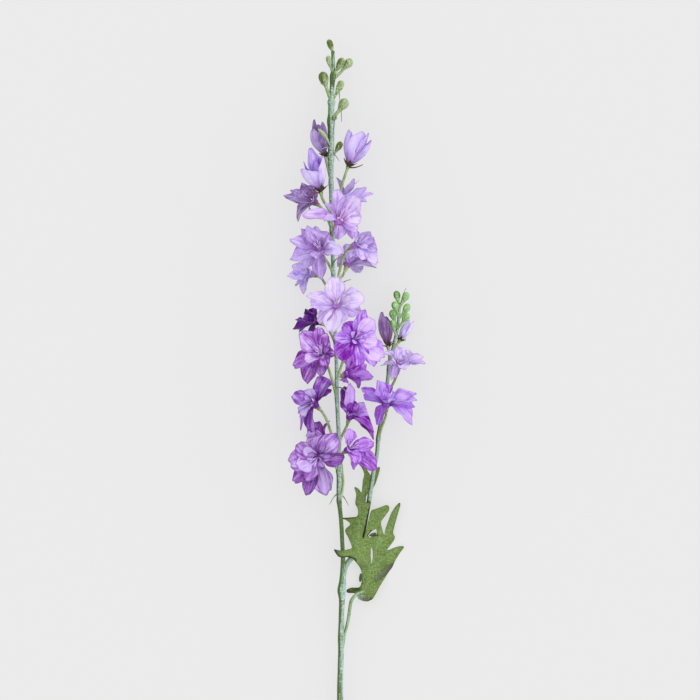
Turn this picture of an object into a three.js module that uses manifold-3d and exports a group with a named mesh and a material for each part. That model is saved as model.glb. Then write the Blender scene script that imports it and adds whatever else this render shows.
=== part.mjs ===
// A cut delphinium flower spike that lies on a table.
// Millimetres. +Y runs along the stem to the tip, +X is the side of the small branch, +Z is up
// and z = 0 is the table. The origin is the middle of the whole spike's box, on the table.
//
// The stem carries a node for each flower stalk. A stalk ends in a calyx, a bloom grows from the
// calyx along its axis to the throat, and its petals spread from there. A petal gives way to
// whatever stands beside it: it is bent to its own side of a plane between the two.

import * as THREE from "three";
import { mergeVertices } from "three/addons/utils/BufferGeometryUtils.js";
import Module from "manifold-3d";

const wasm = await Module();
wasm.setup();

// Driving dimensions ------------------------------------------------------------------------

const GAP = 0.3; // air between two pieces
const BLADE = 0.8; // thickness of a petal or of the leaf
const STALK = 1.15; // radius of a flower stalk
const BUD_STALK = 1.3; // radius of a green bud's stalk
const BRACT = 0.6; // radius of a bract's foot
const CALYX = 1.9; // radius of a stalk's end under the bloom
const NECK = 3.2; // straight end of a flower stalk, along the bloom's axis

// Bending of petals past what stands beside them.
const SLACK = 0.12; // what a bent petal keeps beyond its gap
const GIVE_SIDEWAYS = 0.5; // how readily a petal gives way sideways, beside up and down
const SWEEPS = 24; // rounds of bending until every plane is kept
const NEARBY = 60; // a stalk farther off than this never meets a petal
const SHOULDER = 0.35; // the share of a petal's length that says which side of a stalk it passes

// Outline of a petal.
const WIDEST = 0.6; // share of its length where it is widest
const CLAW = 0.13; // width of its root, as a share of its full width
const ROUND = 2.2; // power of its round end
const FULLNESS = 1.2; // its drawn width to its table width, so that petals lap
const CUP = 0.14; // how far its edges lift, as a share of its width
const TILT = 0.2; // how far one edge stands over the other, so that petals lap round a bloom
// Where the rows of points lie along a petal of up to so many millimetres; its tip is one point.
const PETAL_ROWS = [
  [33, [0, 0.62]],
  [38, [0, 0.45, 0.8]],
  [Infinity, [0, 0.3, 0.6, 0.85]],
];

// An open bloom. A petal that leans forward along the axis is an inner one: it starts higher up
// the core and bows forward.
const CORE = 3.6; // radius of the core, which the petals grow from
const ROOT_OUT = 0.75; // distance of a petal's root from the axis, as a share of the core's radius
const ROOT_LOW = 0.32; // height of the outermost roots, as a share of the core's length
const ROOT_STEP = 0.4; // how much higher the innermost roots are
const OUTER_LEAN = 0.1; // forward lean of the outermost petals
const INNER_LEAN = 0.9; // forward lean of the innermost petals
const BOW_OUT = 0.3; // where the curve's bow stands from the axis, as a share of the reach
const BOW_FORWARD = 3; // how far an inner petal's bow stands over the throat

// A purple bud: shares of its length for along and rise, of its width for the others.
const BUD = { petals: 4, turn: 0.2, rootAlong: 0.06, rootOut: 1.2, bowAlong: 0.42, bowOut: 0.8 };
const BUD_TIP = { out: 0.2, rise: [0.9, 1], width: 0.68, cup: 0.3, tilt: 0.3 };
const BUD_CORE = { along: 0.7, width: 0.4 };
const HOOK = { below: 0.8, out: 6, back: 1.4 }; // small hooked sepals under a purple bud

// The tuft of stamens in a throat.
const TUFT_RADIUS = 2;
const TUFT_LENGTH = 9;
const TUFT_FACING = 0.65; // a bloom shows its tuft when its axis rises by more than this
const KNOB = { radius: 1.5, top: 1.2, length: 2.4 };
const FILAMENTS = { count: 3, from: 0.7, foot: 0.55, tip: 0.4 };

const ROUGHNESS = 0.7;
const COLOURS = {
  petalPale: "#c3ade4",
  petal: "#a47fd6",
  petalDeep: "#8e50be",
  stem: "#9dbfa0",
  stamen: "#ecdff0",
  leaf: "#7a9b52",
};
// Colour of a bloom whose calyx is above this y.
const PETAL_COLOURS = [
  [110, COLOURS.petalPale],
  [25, COLOURS.petal],
  [-Infinity, COLOURS.petalDeep],
];

// Layout ------------------------------------------------------------------------------------

// Centre line of the stem, from the cut end to the tip: x, y, z, radius.
const STEM = [
  [-11.6, -312.8, 2.5, 2.5],
  [-11.6, -216.8, 8.9, 2.4],
  [-10.9, -180, 11.8, 2.3],
  [-10.8, -168.8, 12.6, 2.5],
  [-10.4, -150.4, 13.9, 2.3],
  [-10, -137.6, 14.8, 2.6],
  [-9.6, -130, 15.2, 3.2],
  [-9.4, -122, 15.7, 2.8],
  [-9.2, -104.8, 16.4, 1.9],
  [-10.8, -72.8, 18, 1.7],
  [-12.4, -56.8, 19, 1.9],
  [-12.4, -32.8, 20.4, 2],
  [-12.8, -0.8, 22, 1.7],
  [-14, 23.2, 23, 1.6],
  [-14.4, 51.2, 23.5, 1.5],
  [-15.6, 79.2, 24, 1.5],
  [-16.4, 111.2, 24, 1.6],
  [-17.2, 133.6, 24, 1.7],
  [-18, 171.2, 23.5, 2],
  [-18.8, 199.2, 23, 1.9],
  [-18.8, 223.2, 22.5, 2.6],
  [-18.8, 251.2, 21.5, 2.4],
  [-18, 276, 20.5, 2.4],
  [-17, 290.4, 20, 1.7],
  [-17.4, 303, 19.5, 1.2],
];

// Centre line of the side branch, from its fork to its tip.
const BRANCH = [
  [-10.8, -130.4, 15, 2.4],
  [-7.6, -112, 13.6, 2.3],
  [-1.2, -103.2, 11.6, 2.1],
  [2.8, -97.6, 10.4, 2],
  [6.8, -83.2, 8.6, 2],
  [10.8, -64, 7.6, 1.9],
  [13.2, -48.8, 8, 1.9],
  [15.6, -33.6, 9.4, 1.7],
  [18, -21.6, 11, 1.7],
  [19.6, -4.8, 13, 1.7],
  [22.8, 14.4, 14.6, 1.6],
  [26.8, 40, 16, 1.5],
  [27.6, 50.4, 16.8, 1.5],
  [31.6, 67.2, 18, 1.4],
  [34.8, 83.2, 20, 1.2],
  [36.4, 101, 22, 1],
];

// The blooms, from the top down. calyx and throat are x, y, z; node is the y at which the stalk
// leaves its stem. A petal is: direction in degrees seen from above (0 is +X, 90 is +Y), reach of
// its tip from the throat seen from above, rise of the tip over the throat, full width. A bloom of
// a higher layer laps over a neighbour of a lower one: the plane between them leans.
const BLOOMS = [
  {
    name: "bloom_top_left",
    layer: -10,
    calyx: [-29.7, 180, 21],
    throat: [-35, 183.8, 26.5],
    node: 158,
    petals: [
      [171, 23, 2, 8],
      [157, 16.5, 5, 8],
      [176, 15, 12, 10],
      [120, 16, 3, 10],
      [100, 11.5, -5, 9],
      [236, 21, 0, 12],
      [195, 13, -12, 11],
      [272, 9, -4, 9],
      [40, 8, 2, 9],
    ],
  },
  {
    name: "bloom_top_right",
    layer: -6,
    calyx: [-12, 181.6, 16],
    throat: [-7, 186, 17.5],
    node: 166,
    petals: [
      [112, 18, -2, 12],
      [64, 15, 5, 7],
      [44, 17.5, 4, 7.5],
      [27, 19, 2, 7.5],
      [8, 21.5, -1, 8.5],
      [352, 17, -6, 9],
      [325, 12, -20, 12],
    ],
  },
  {
    name: "bloom_upper_front",
    layer: 36,
    calyx: [-15.1, 161.6, 33],
    throat: [-10.6, 168.5, 41],
    node: 146,
    petals: [
      [100, 23.8, 4, 14],
      [87, 14.6, 8, 11],
      [50, 21, 6, 15],
      [318, 17, 1, 11],
      [296, 19.5, -4, 8],
      [178, 31, -1, 11],
      [135, 17, 4, 9],
      [192, 15, 5, 8],
      [348, 16, 3, 13],
      [262, 17, -3, 8],
    ],
  },
  {
    name: "bloom_upper_left",
    layer: 18,
    calyx: [-26, 140.8, 32],
    throat: [-28.2, 144.8, 40],
    node: 124,
    petals: [
      [133, 21, 1, 10],
      [112, 20.5, 3, 12],
      [90, 21, 2, 12],
      [62, 20, 1, 12],
      [0, 23, 8, 14],
      [166, 25, 1, 10],
      [201, 25.5, -2, 12],
      [236, 22.6, -4, 12],
      [274, 26.6, -6, 10],
      [258, 9.5, 8, 9],
    ],
  },
  {
    name: "bloom_upper_right",
    layer: 8,
    calyx: [-2.4, 145.2, 27],
    throat: [3.4, 149, 33.5],
    node: 106,
    petals: [
      [115, 10, 4, 9],
      [45, 11.5, 5, 8],
      [12, 13, 3, 9],
      [340, 16.5, 0, 10],
      [306, 23, -5, 9],
      [285, 15, 3, 10],
      [10, 10, -14, 11],
    ],
  },
  {
    name: "bloom_upper_back",
    layer: -10,
    calyx: [-6.8, 128.8, 16],
    throat: [-4.4, 135.2, 13],
    node: 112,
    petals: [
      [195, 10, 2, 11],
      [340, 23, 1, 11],
      [2, 21, -2, 13],
      [138, 12, -15, 12],
      [78, 13, -15, 12],
      [300, 12, -16, 13],
    ],
  },
  {
    name: "bloom_upper_low_left",
    layer: 0,
    calyx: [-32, 123.2, 17],
    throat: [-38, 125, 21.5],
    node: 98,
    petals: [
      [190, 17.5, 2, 11],
      [155, 12, 6, 11],
      [262, 17.6, 0, 10],
      [222, 13, -8, 9],
      [118, 11, -6, 9],
      [178, 12, -12, 10],
      [215, 11, -23, 12],
    ],
  },
  {
    name: "bloom_middle_front",
    layer: 40,
    calyx: [-14.8, 96.8, 37],
    throat: [-14.4, 100.4, 45.5],
    node: 82,
    petals: [
      [96, 21.6, 2, 14],
      [10, 22.7, 2, 13],
      [182, 21, 0, 12],
      [227, 21, -3, 9],
      [259, 24.6, 1, 12.5],
      [297, 16, 0, 8],
      [338, 20, -4, 11],
      [14, 12, 8, 9],
      [164, 24.5, -2, 10],
    ],
  },
  {
    name: "bloom_middle_back_left",
    layer: -8,
    calyx: [-27.6, 84.8, 16],
    throat: [-33.4, 87.4, 19.5],
    node: 68,
    petals: [
      [203, 18.6, 1, 11],
      [180, 13, 5, 11],
      [129, 10, 4, 11],
      [80, 11, 3, 9],
      [223, 15, -5, 9],
      [300, 20, -8, 13],
      [185, 13, -21, 13],
    ],
  },
  {
    name: "bloom_middle_left",
    layer: 14,
    calyx: [-24.4, 56.8, 32.5],
    throat: [-26.8, 61.1, 40.5],
    node: 24,
    petals: [
      [136, 24, 2, 14],
      [90, 21.6, -2, 10],
      [65, 17, 5, 11],
      [356, 11, 7, 7],
      [208, 25, -2, 13],
      [211, 14, 8, 10],
      [240, 29, -3, 14],
      [272, 19, -4, 11],
      [295, 12, 4, 9],
    ],
  },
  {
    name: "bloom_middle_right",
    layer: 26,
    calyx: [-1.2, 70.4, 33.5],
    throat: [1.8, 72.9, 41.5],
    node: 38,
    petals: [
      [133, 17.7, 2, 12],
      [48, 19.3, 1, 12],
      [345, 17, 2, 12],
      [307, 28, -6, 9],
      [272, 22.5, -2, 12],
      [221, 27, 1, 13],
      [178, 18, 4, 9],
      [85, 26, -3, 12],
      [320, 27, -1, 14],
    ],
  },
  {
    name: "bloom_middle_back_right",
    layer: -8,
    calyx: [-10, 42.6, 11.5],
    throat: [-4.6, 44, 9.5],
    node: 30,
    petals: [
      [0, 18.5, 0, 12],
      [350, 19, 2, 12],
      [26, 16, 2, 12],
      [62, 17, -2, 13],
      [100, 17, -2, 13],
      [310, 14, -3, 12],
      [215, 9, 2, 12],
    ],
  },
  {
    name: "bloom_lower_left",
    layer: 2,
    calyx: [-29, 16.8, 22],
    throat: [-34.8, 22.8, 28],
    node: -28,
    petals: [
      [167, 17, 2, 14],
      [85, 9, 1, 9],
      [50, 29, 0, 12],
      [240, 14, 5, 13],
      [254, 26, -6, 8],
      [274, 30, 0, 10],
      [150, 12, -8, 11],
      [229, 15, -12, 8],
      [28, 19, -2, 9],
    ],
  },
  {
    name: "bloom_lower_right",
    layer: 0,
    calyx: [-4.9, 6.6, 22],
    throat: [-3, 14, 27.5],
    node: -12,
    petals: [
      [136, 22, -9, 8],
      [108, 27, 3, 9],
      [90, 24, 5, 9],
      [45, 10, 5, 5],
      [18, 14.7, 4, 8],
      [351, 18, 1, 7],
      [323, 17.6, -3, 6],
      [309, 31.5, -6, 11],
      [320, 25, -3, 9],
      [40, 11, -11, 11],
    ],
  },
  {
    name: "bloom_bottom_back",
    layer: -8,
    calyx: [-22, -9.6, 15],
    throat: [-27, -5.6, 12],
    node: -32,
    petals: [
      [100, 11, 1, 5],
      [52, 13.6, 2, 8],
      [175, 12, 0, 9],
      [205, 15, -3, 9],
      [140, 12, -14, 12],
      [240, 13, -14, 12],
    ],
  },
  {
    name: "bloom_bottom_front",
    layer: 34,
    calyx: [-27.6, -20.8, 33.5],
    throat: [-30.8, -23.6, 41.5],
    node: -34,
    petals: [
      [186, 22.5, -1, 15],
      [226, 25, -3, 10],
      [256, 29.5, -3, 11],
      [287, 30, -1, 17],
      [4, 25.5, -1, 11],
      [47, 27, 1, 14],
      [80, 20, 5, 10],
      [136, 19.5, 4, 12],
      [128, 13, 9, 9],
      [203, 17, 6, 12],
      [251, 18, 5, 10],
      [14, 13, 8, 6],
    ],
  },
  {
    name: "bloom_bottom_right",
    layer: 20,
    calyx: [-7.6, -18, 27],
    throat: [-2.6, -14.6, 34],
    node: -58,
    aside: 7, // its stalk bows out to the right
    petals: [
      [100, 16, 3, 13],
      [10, 18, 0, 10],
      [294, 13.5, 4, 12],
      [321, 27, -6, 12],
      [275, 18.5, -7, 8],
      [350, 11, -13, 11],
    ],
  },
  {
    name: "bloom_branch_top",
    branch: true,
    calyx: [35, 47.7, 22],
    throat: [36.6, 55, 26.5],
    node: 18,
    petals: [
      [194, 16, 0, 9],
      [158, 14.7, 2, 9],
      [106, 11.7, 3, 10],
      [40, 10, 5, 8],
      [5, 19, 2, 7],
      [355, 21, -1, 9],
      [300, 8, 4, 9],
      [249, 20.5, -5, 7],
      [60, 12, -9, 11],
    ],
  },
  {
    name: "bloom_branch_low",
    branch: true,
    calyx: [25.4, 15.7, 24],
    throat: [25.4, 23.6, 29],
    node: -8,
    petals: [
      [103, 20, 3, 15],
      [162, 28, -2, 11],
      [178, 25, 2, 11],
      [16, 26, 0, 11],
      [358, 25, 3, 11],
      [345, 24, 1, 10],
      [45, 9, 7, 11],
      [317, 30, -5, 11],
      [253, 23, -4, 8],
    ],
  },
];

// Purple buds: base, tip and full width of the bud, y of the node. spread is how far out the
// petals' tips stand, as a share of the width.
const PURPLE_BUDS = [
  {
    name: "bud_half_open",
    layer: 20,
    calyx: [-27, 189.6, 32],
    tip: [-33.4, 222, 36],
    width: 22,
    spread: 0.42,
    node: 170,
  },
  { name: "bud_top_left", calyx: [-23.6, 218.4, 23], tip: [-30.4, 246.4, 25], width: 15, node: 196 },
  { name: "bud_top_right", calyx: [-4.9, 210.2, 27], tip: [5.4, 237.5, 30], width: 20, node: 160 },
  {
    name: "bud_branch_left",
    branch: true,
    calyx: [27, 66.7, 18],
    tip: [24.2, 93, 17],
    width: 13,
    node: 53,
  },
  {
    name: "bud_branch_right",
    branch: true,
    calyx: [36.6, 71.5, 14],
    tip: [46, 87.5, 12],
    width: 11,
    node: 60,
  },
];

// Green buds: middle x, y, z, length, width, y of the node.
const GREEN_BUDS = [
  [-19.4, 308.2, 19.5, 8.6, 4.8, 303],
  [-20.4, 295.2, 22, 8, 4.4, 284],
  [-11.4, 293.2, 23, 9, 6.4, 283],
  [-5.2, 293.9, 18, 8, 7, 280],
  [-24.6, 281.6, 22, 9.6, 7.8, 262],
  [-12, 274.8, 23, 9.4, 5.8, 262],
  [-9, 261, 20, 9, 8, 248],
  [-16, 249.6, 24.4, 4.6, 4.4, 245],
  [-12.6, 226.6, 26, 7.8, 5, 217],
];
const BRANCH_BUDS = [
  [34, 107.2, 22, 7, 5.6, 98],
  [40.9, 106.4, 23, 7, 5.8, 97],
  [32.6, 98.8, 23, 7, 6, 90],
  [41.6, 97.3, 20, 7, 5.8, 88],
  [31, 92.2, 20, 7, 6, 80],
  [40.9, 90, 25, 7, 6, 80],
  [30.6, 84.6, 28, 6, 5, 75],
];

// Thin bracts on the stem: foot x, y, z, then their tip.
const BRACTS = [
  [-13.5, -52, 18.6, -20, -61, 18],
  [-11.5, -52, 18.6, -4.6, -62, 18],
  [-14.4, 33, 25, -5.6, 28.6, 39],
  [-17, 133, 25, -10, 138, 30],
  [-21.4, 271, 21.4, -27.6, 277, 23],
  [-10.6, 259, 21, -10.4, 246, 20],
  [-12.4, 272, 23, -11.8, 262, 25],
  [-18.4, 221, 23.6, -12, 214, 27],
  [37, 100, 22, 41.4, 112.8, 23],
  [-19.4, 225.6, 24, -27.4, 237.6, 35],
  [-15.6, 111, 25, -2.8, 119.5, 28],
];

// Outline of the leaf, seen from above, once round from its stalk. Its lobes lie to the tip, and
// a slit runs down into it beside the branch.
const LEAF_OUTLINE = [
  [3.2, -137.9], [8.5, -139.5], [12.9, -138.5], [15.6, -136.1], [21, -126.6], [26.4, -118.4],
  [30.9, -111.4], [33.5, -106.3], [36.9, -100.8], [40, -96.2], [37.9, -95.4], [33.6, -96.2],
  [26.4, -98.7], [29.9, -93.6], [32.7, -88.5], [31.3, -84.6], [32.3, -79.2], [34.5, -71.1],
  [37.1, -62.1], [36.3, -60.2], [33.6, -62.6], [29.9, -68], [27.3, -74.7], [24.8, -81.9],
  [24, -86.1], [22.4, -81], [21.5, -75.6], [24.6, -71.1], [27.8, -66.4], [28, -63.3],
  [25.8, -62], [21, -63.5], [16.6, -64.9], [13.4, -66.3], [11.5, -72.5], [9.6, -79.6],
  [7.3, -87.5], [6.5, -85.9], [8.7, -78.7], [10.5, -71.6], [12, -64.6], [12.9, -60.5],
  [9.5, -59.7], [9.3, -56.9], [10.1, -53.9], [15.5, -47.8], [18.4, -40.8], [20.6, -31.7], [16.8, -32.7], [13.5, -37.8],
  [10.5, -34.1], [6.1, -27.9], [-3.6, -23], [4.5, -30.3], [7.7, -36.7], [6.7, -42.8],
  [5.7, -51.9], [3.5, -49.2], [0, -47.8], [1.4, -53.9], [0.6, -60.4], [2.6, -65],
  [2.2, -70.6], [-3, -71.8], [-10.4, -72.6], [-6.4, -74.4], [-3.6, -77.4], [-7.6, -82.3],
  [-4.5, -89], [-2.2, -95.8], [-5.6, -96.8], [-9.4, -97.6], [-12.9, -97.4], [-16.6, -97.6],
  [-13, -102.6], [-9.4, -102.8], [-5.6, -103.2], [-1.4, -104.6], [0.6, -106.7], [4.5, -112.7],
  [6.1, -119.6], [4.3, -128], [-2.3, -128.9], [-6.3, -130.8], [-5.4, -133.1], [0.8, -133.7],
];
// The first and last point of the lobe that lies over the stem, which is cut by itself.
const LEAF_LOBE = [69, 77];
// The holes in the leaf: a long tear and a torn window.
const LEAF_HOLES = [
  [[13.5, -95.2], [13, -102.2], [13.6, -109.7], [14.8, -104.2], [14.6, -98.2]],
  [[17.6, -80.9], [13.5, -82.9], [10.9, -86.1], [12.7, -87.9], [14.5, -86.1], [18, -85.5]],
];
// Where the leaf lies over a stem: its rows, from y, to y, half width of the ridge.
const LEAF_RIDGES = [
  [BRANCH, -108, -60, 15],
  [STEM, -106, -92, 9],
];
const LEAF_HEIGHT = 1.5; // mean height of the leaf's middle over the table
const LEAF_FOOT = { y: -134, rise: 4.6, spread: 22 }; // its rise to its stalk
const LEAF_WAVES = [[2.4, 7, 19], [1.8, -15, 9]]; // height, run along x and along y
const LEAF_CLEAR = 2.4; // the leaf's middle over the top of a stem that it lies on
const LEAF_EASE = 7; // length over which a ridge rises from nothing

// Stalk of the leaf, from beside the stem to the foot of the blade: x, y, z, radius.
const LEAF_STALK = [
  [-7.1, -171, 12.4, 0.8],
  [-5.6, -156, 13, 1.2],
  [-1.8, -139.4, 9.6, 1.2],
  [2.4, -134, 7, 1.1],
  [8, -131.4, 5.4, 1],
];

// Small helpers -----------------------------------------------------------------------------

const point = ([x, y, z]) => new THREE.Vector3(x, y, z);
const mix = (a, b, t) => a.clone().lerp(b, t);
const smooth = (t) => {
  const c = Math.min(Math.max(t, 0), 1);
  return c * c * (3 - 2 * c);
};

/** A closed geometry from its corners and triangles. */
function geometryOf(corners, triangles) {
  const g = new THREE.BufferGeometry();
  g.setAttribute("position", new THREE.Float32BufferAttribute(corners.flatMap((c) => [...c]), 3));
  g.setIndex(triangles);
  return g;
}

/** A closed geometry as a solid that can be joined. */
function solidOf(geometry) {
  const bare = geometry.clone();
  bare.deleteAttribute("normal");
  bare.deleteAttribute("uv");
  const merged = mergeVertices(bare, 1e-4);
  return new wasm.Manifold(
    new wasm.Mesh({
      numProp: 3,
      vertProperties: new Float32Array(merged.attributes.position.array),
      triVerts: new Uint32Array(merged.index.array),
    }),
  );
}

/** Joins solids and gives the geometry of the result, without loose scraps. */
function fused(geometries) {
  const joined = wasm.Manifold.union(geometries.map(solidOf));
  const [largest] = joined.decompose().sort((a, b) => b.volume() - a.volume());
  const mesh = largest.getMesh();
  const g = new THREE.BufferGeometry();
  g.setAttribute("position", new THREE.BufferAttribute(mesh.vertProperties, 3));
  g.setIndex(new THREE.BufferAttribute(mesh.triVerts, 1));
  return g;
}

/** A closed round bar along rows of [x, y, z, radius], with flat ends. */
function bar(rows, sides) {
  const centres = rows.map(point);
  const corners = [];
  const triangles = [];
  let across = null;
  centres.forEach((c, i) => {
    const before = centres[Math.max(i - 1, 0)];
    const after = centres[Math.min(i + 1, centres.length - 1)];
    const along = after.clone().sub(before).normalize();
    across ??= Math.abs(along.z) > 0.9 ? new THREE.Vector3(1, 0, 0) : new THREE.Vector3(0, 0, -1);
    across = across.clone().addScaledVector(along, -across.dot(along)).normalize();
    const other = along.clone().cross(across);
    for (let k = 0; k < sides; k++) {
      const a = (2 * Math.PI * k) / sides;
      corners.push(
        c
          .clone()
          .addScaledVector(across, rows[i][3] * Math.cos(a))
          .addScaledVector(other, rows[i][3] * Math.sin(a)),
      );
    }
  });
  for (let i = 0; i + 1 < rows.length; i++)
    for (let k = 0; k < sides; k++) {
      const a = i * sides + k;
      const b = i * sides + ((k + 1) % sides);
      triangles.push(a, b, a + sides, b, b + sides, a + sides);
    }
  const last = (rows.length - 1) * sides;
  for (let k = 1; k + 1 < sides; k++) {
    triangles.push(0, k + 1, k);
    triangles.push(last, last + k, last + k + 1);
  }
  return geometryOf(corners, triangles);
}

/** A closed solid turned about the line from a to b: profile rows are [radius, share of ab]. */
function turned(profile, a, b, sides) {
  const g = new THREE.LatheGeometry(
    profile.map(([r, s]) => new THREE.Vector2(r, s * a.distanceTo(b))),
    sides,
  );
  const turn = new THREE.Quaternion().setFromUnitVectors(
    new THREE.Vector3(0, 1, 0),
    b.clone().sub(a).normalize(),
  );
  return g.applyQuaternion(turn).translate(a.x, a.y, a.z);
}

/** An egg from foot to tip, as a bud has. */
const egg = (foot, tip, width) =>
  turned([[0, 0], [0.36, 0.14], [0.5, 0.5], [0.34, 0.86], [0, 1]].map(
    ([r, s]) => [r * width, s]), foot, tip, 6);

/** A thin curved bract or hook from its foot to its tip. */
function bract(foot, tip, radius = BRACT) {
  const middle = mix(foot, tip, 0.5).add(new THREE.Vector3(0, foot.distanceTo(tip) * 0.12, 0));
  return bar([[...foot, radius], [...middle, radius * 0.9], [...tip, radius * 0.5]], 3);
}

// Stems and stalks --------------------------------------------------------------------------

/** A stem's point and radius at a given y. */
function stemAt(rows, y) {
  const i = Math.max(1, rows.findIndex((r) => r[1] >= y));
  const [a, b] = [rows[i - 1], rows[i]];
  const t = (y - a[1]) / (b[1] - a[1]);
  return a.map((value, k) => value + (b[k] - value) * t);
}

/** The rows of a flower stalk: up out of its node, round into the calyx along the bloom's axis. */
function stalkRows(head) {
  const from = point(stemAt(head.branch ? BRANCH : STEM, head.node));
  const end = point(head.calyx).addScaledVector(head.axis, -GAP);
  const neck = end.clone().addScaledVector(head.axis, -NECK);
  const run = from.distanceTo(neck);
  const curve = new THREE.CubicBezierCurve3(
    from,
    from.clone().lerp(neck, 0.35).add(new THREE.Vector3(head.aside ?? 0, run * 0.1, 0)),
    neck.clone().addScaledVector(head.axis, -run * 0.25),
    neck,
  );
  return [...[0, 0.5, 1].map((s) => [...curve.getPoint(s), STALK]), [...end, CALYX]];
}

for (const head of [...BLOOMS, ...PURPLE_BUDS]) {
  head.axis = point(head.throat ?? head.tip).sub(point(head.calyx)).normalize();
  head.stalk = stalkRows(head);
  head.heart = head.throat
    ? mix(point(head.calyx), point(head.throat), 0.5)
    : mix(point(head.calyx), point(head.tip), 0.45);
}

// Everything round that a petal has to pass: straight pieces from one row to the next.
const rods = [STEM, BRANCH, ...[...BLOOMS, ...PURPLE_BUDS].map((h) => h.stalk)].flatMap((rows) =>
  rows.slice(1).map((row, i) => ({
    line: new THREE.Line3(point(rows[i]), point(row)),
    radius: Math.max(rows[i][3], row[3]),
  })),
);

// Where a petal may go ----------------------------------------------------------------------

/** The plane that parts a point from a rod, on the point's side of it. */
function planeBeside(rod, place) {
  const nearest = rod.line.closestPointToPoint(place, true, new THREE.Vector3());
  const normal = place.clone().sub(nearest);
  const far = normal.length();
  normal.normalize();
  return { normal, start: normal.dot(nearest) + rod.radius + GAP, far };
}

/** The planes half-way between a bloom and its neighbours. */
function cellOf(head) {
  return [...BLOOMS, ...PURPLE_BUDS]
    .filter((other) => other !== head)
    .map((other) => {
      const normal = head.heart.clone().sub(other.heart);
      normal.z += (head.layer ?? 0) - (other.layer ?? 0);
      normal.normalize();
      return { normal, start: normal.dot(mix(head.heart, other.heart, 0.5)) + GAP / 2 };
    });
}

/** Bends a point of a blade's middle to the allowed side of every plane, and over the table. */
function bend(p, planes) {
  for (let sweep = 0; sweep < SWEEPS; sweep++) {
    for (const { normal, start } of planes) {
      const short = start + BLADE / 2 + SLACK - normal.dot(p);
      if (short <= 0) continue;
      const way = normal.clone().multiply(new THREE.Vector3(GIVE_SIDEWAYS, GIVE_SIDEWAYS, 1));
      p.addScaledVector(way, short / way.dot(normal));
    }
    p.z = Math.max(p.z, BLADE / 2);
  }
  return p;
}

// Petals ------------------------------------------------------------------------------------

/** Width of a petal at share u of its length: a narrow claw, a broad limb and a round end. */
function widthShare(u) {
  const limb = CLAW + (1 - CLAW) * smooth(u / WIDEST);
  const end = Math.max(0, (u - WIDEST) / (1 - WIDEST));
  return limb * Math.sqrt(Math.max(0, 1 - end ** ROUND));
}

/** A blade of even thickness about rows of points; the last row is the single tip. */
function blade(rows) {
  const at = (i, j) => rows[i][Math.min(j, rows[i].length - 1)];
  const flat = rows.flat();
  const normals = [];
  rows.forEach((row, i) =>
    row.forEach((p, j) => {
      const along = at(Math.min(i + 1, rows.length - 1), j).clone();
      along.sub(at(Math.max(i - 1, 0), j));
      const side = row.length > 1 ? i : i - 1;
      const [left, right] = row.length > 1 ? [Math.max(j - 1, 0), Math.min(j + 1, 2)] : [0, 2];
      const across = at(side, right).clone().sub(at(side, left));
      const n = along.cross(across).normalize();
      if (p.z <= BLADE / 2 + 1e-6) n.set(0, 0, Math.sign(n.z) || 1);
      normals.push(n);
    }),
  );
  const over = flat.map((p, i) => p.clone().addScaledVector(normals[i], BLADE / 2));
  const under = flat.map((p, i) => p.clone().addScaledVector(normals[i], -BLADE / 2));
  const count = flat.length;
  const tip = count - 1;
  const face = [];
  for (let i = 0; i + 2 < rows.length; i++)
    for (let j = 0; j < 2; j++) {
      const a = i * 3 + j;
      face.push([a, a + 3, a + 1], [a + 1, a + 3, a + 4]);
    }
  const end = (rows.length - 2) * 3;
  face.push([end, tip, end + 1], [end + 1, tip, end + 2]);
  const rim = [];
  for (let i = 0; i + 2 < rows.length; i++) rim.push([i * 3, i * 3 + 3]);
  rim.push([end, tip], [tip, end + 2]);
  for (let i = rows.length - 2; i > 0; i--) rim.push([i * 3 + 2, i * 3 - 1]);
  rim.push([2, 1], [1, 0]);
  const triangles = face.flatMap(([a, b, c]) => [a, b, c, count + a, count + c, count + b]);
  for (const [a, b] of rim) triangles.push(b, a, count + a, b, count + a, count + b);
  return geometryOf([...over, ...under], triangles);
}

/**
 * One petal as a closed blade: a curve from root over bow to tip, widened along side, with its
 * edges lifted, and bent clear of everything beside it.
 */
function petal({ root, bow, tip, side, width, cell, cup = CUP, tilt = TILT }) {
  const curve = new THREE.QuadraticBezierCurve3(root, bow, tip);
  const shoulder = curve.getPoint(SHOULDER);
  const beside = rods.map((rod) => planeBeside(rod, shoulder)).filter(({ far }) => far < NEARBY);
  const planes = [...cell, ...beside];
  const [, stations] = PETAL_ROWS.find(([longest]) => root.distanceTo(tip) < longest);
  const rows = stations.map((u) => {
    const centre = curve.getPoint(u);
    const inward = curve.getTangent(u).cross(side).normalize();
    const half = (width * widthShare(u)) / 2;
    return [-1, 0, 1].map((v) =>
      bend(
        centre
          .clone()
          .addScaledVector(side, v * half)
          .addScaledVector(inward, (v * v * 2 * cup + v * tilt) * half),
        planes,
      ),
    );
  });
  rows.push([bend(tip.clone(), planes)]);
  return blade(rows);
}

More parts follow.
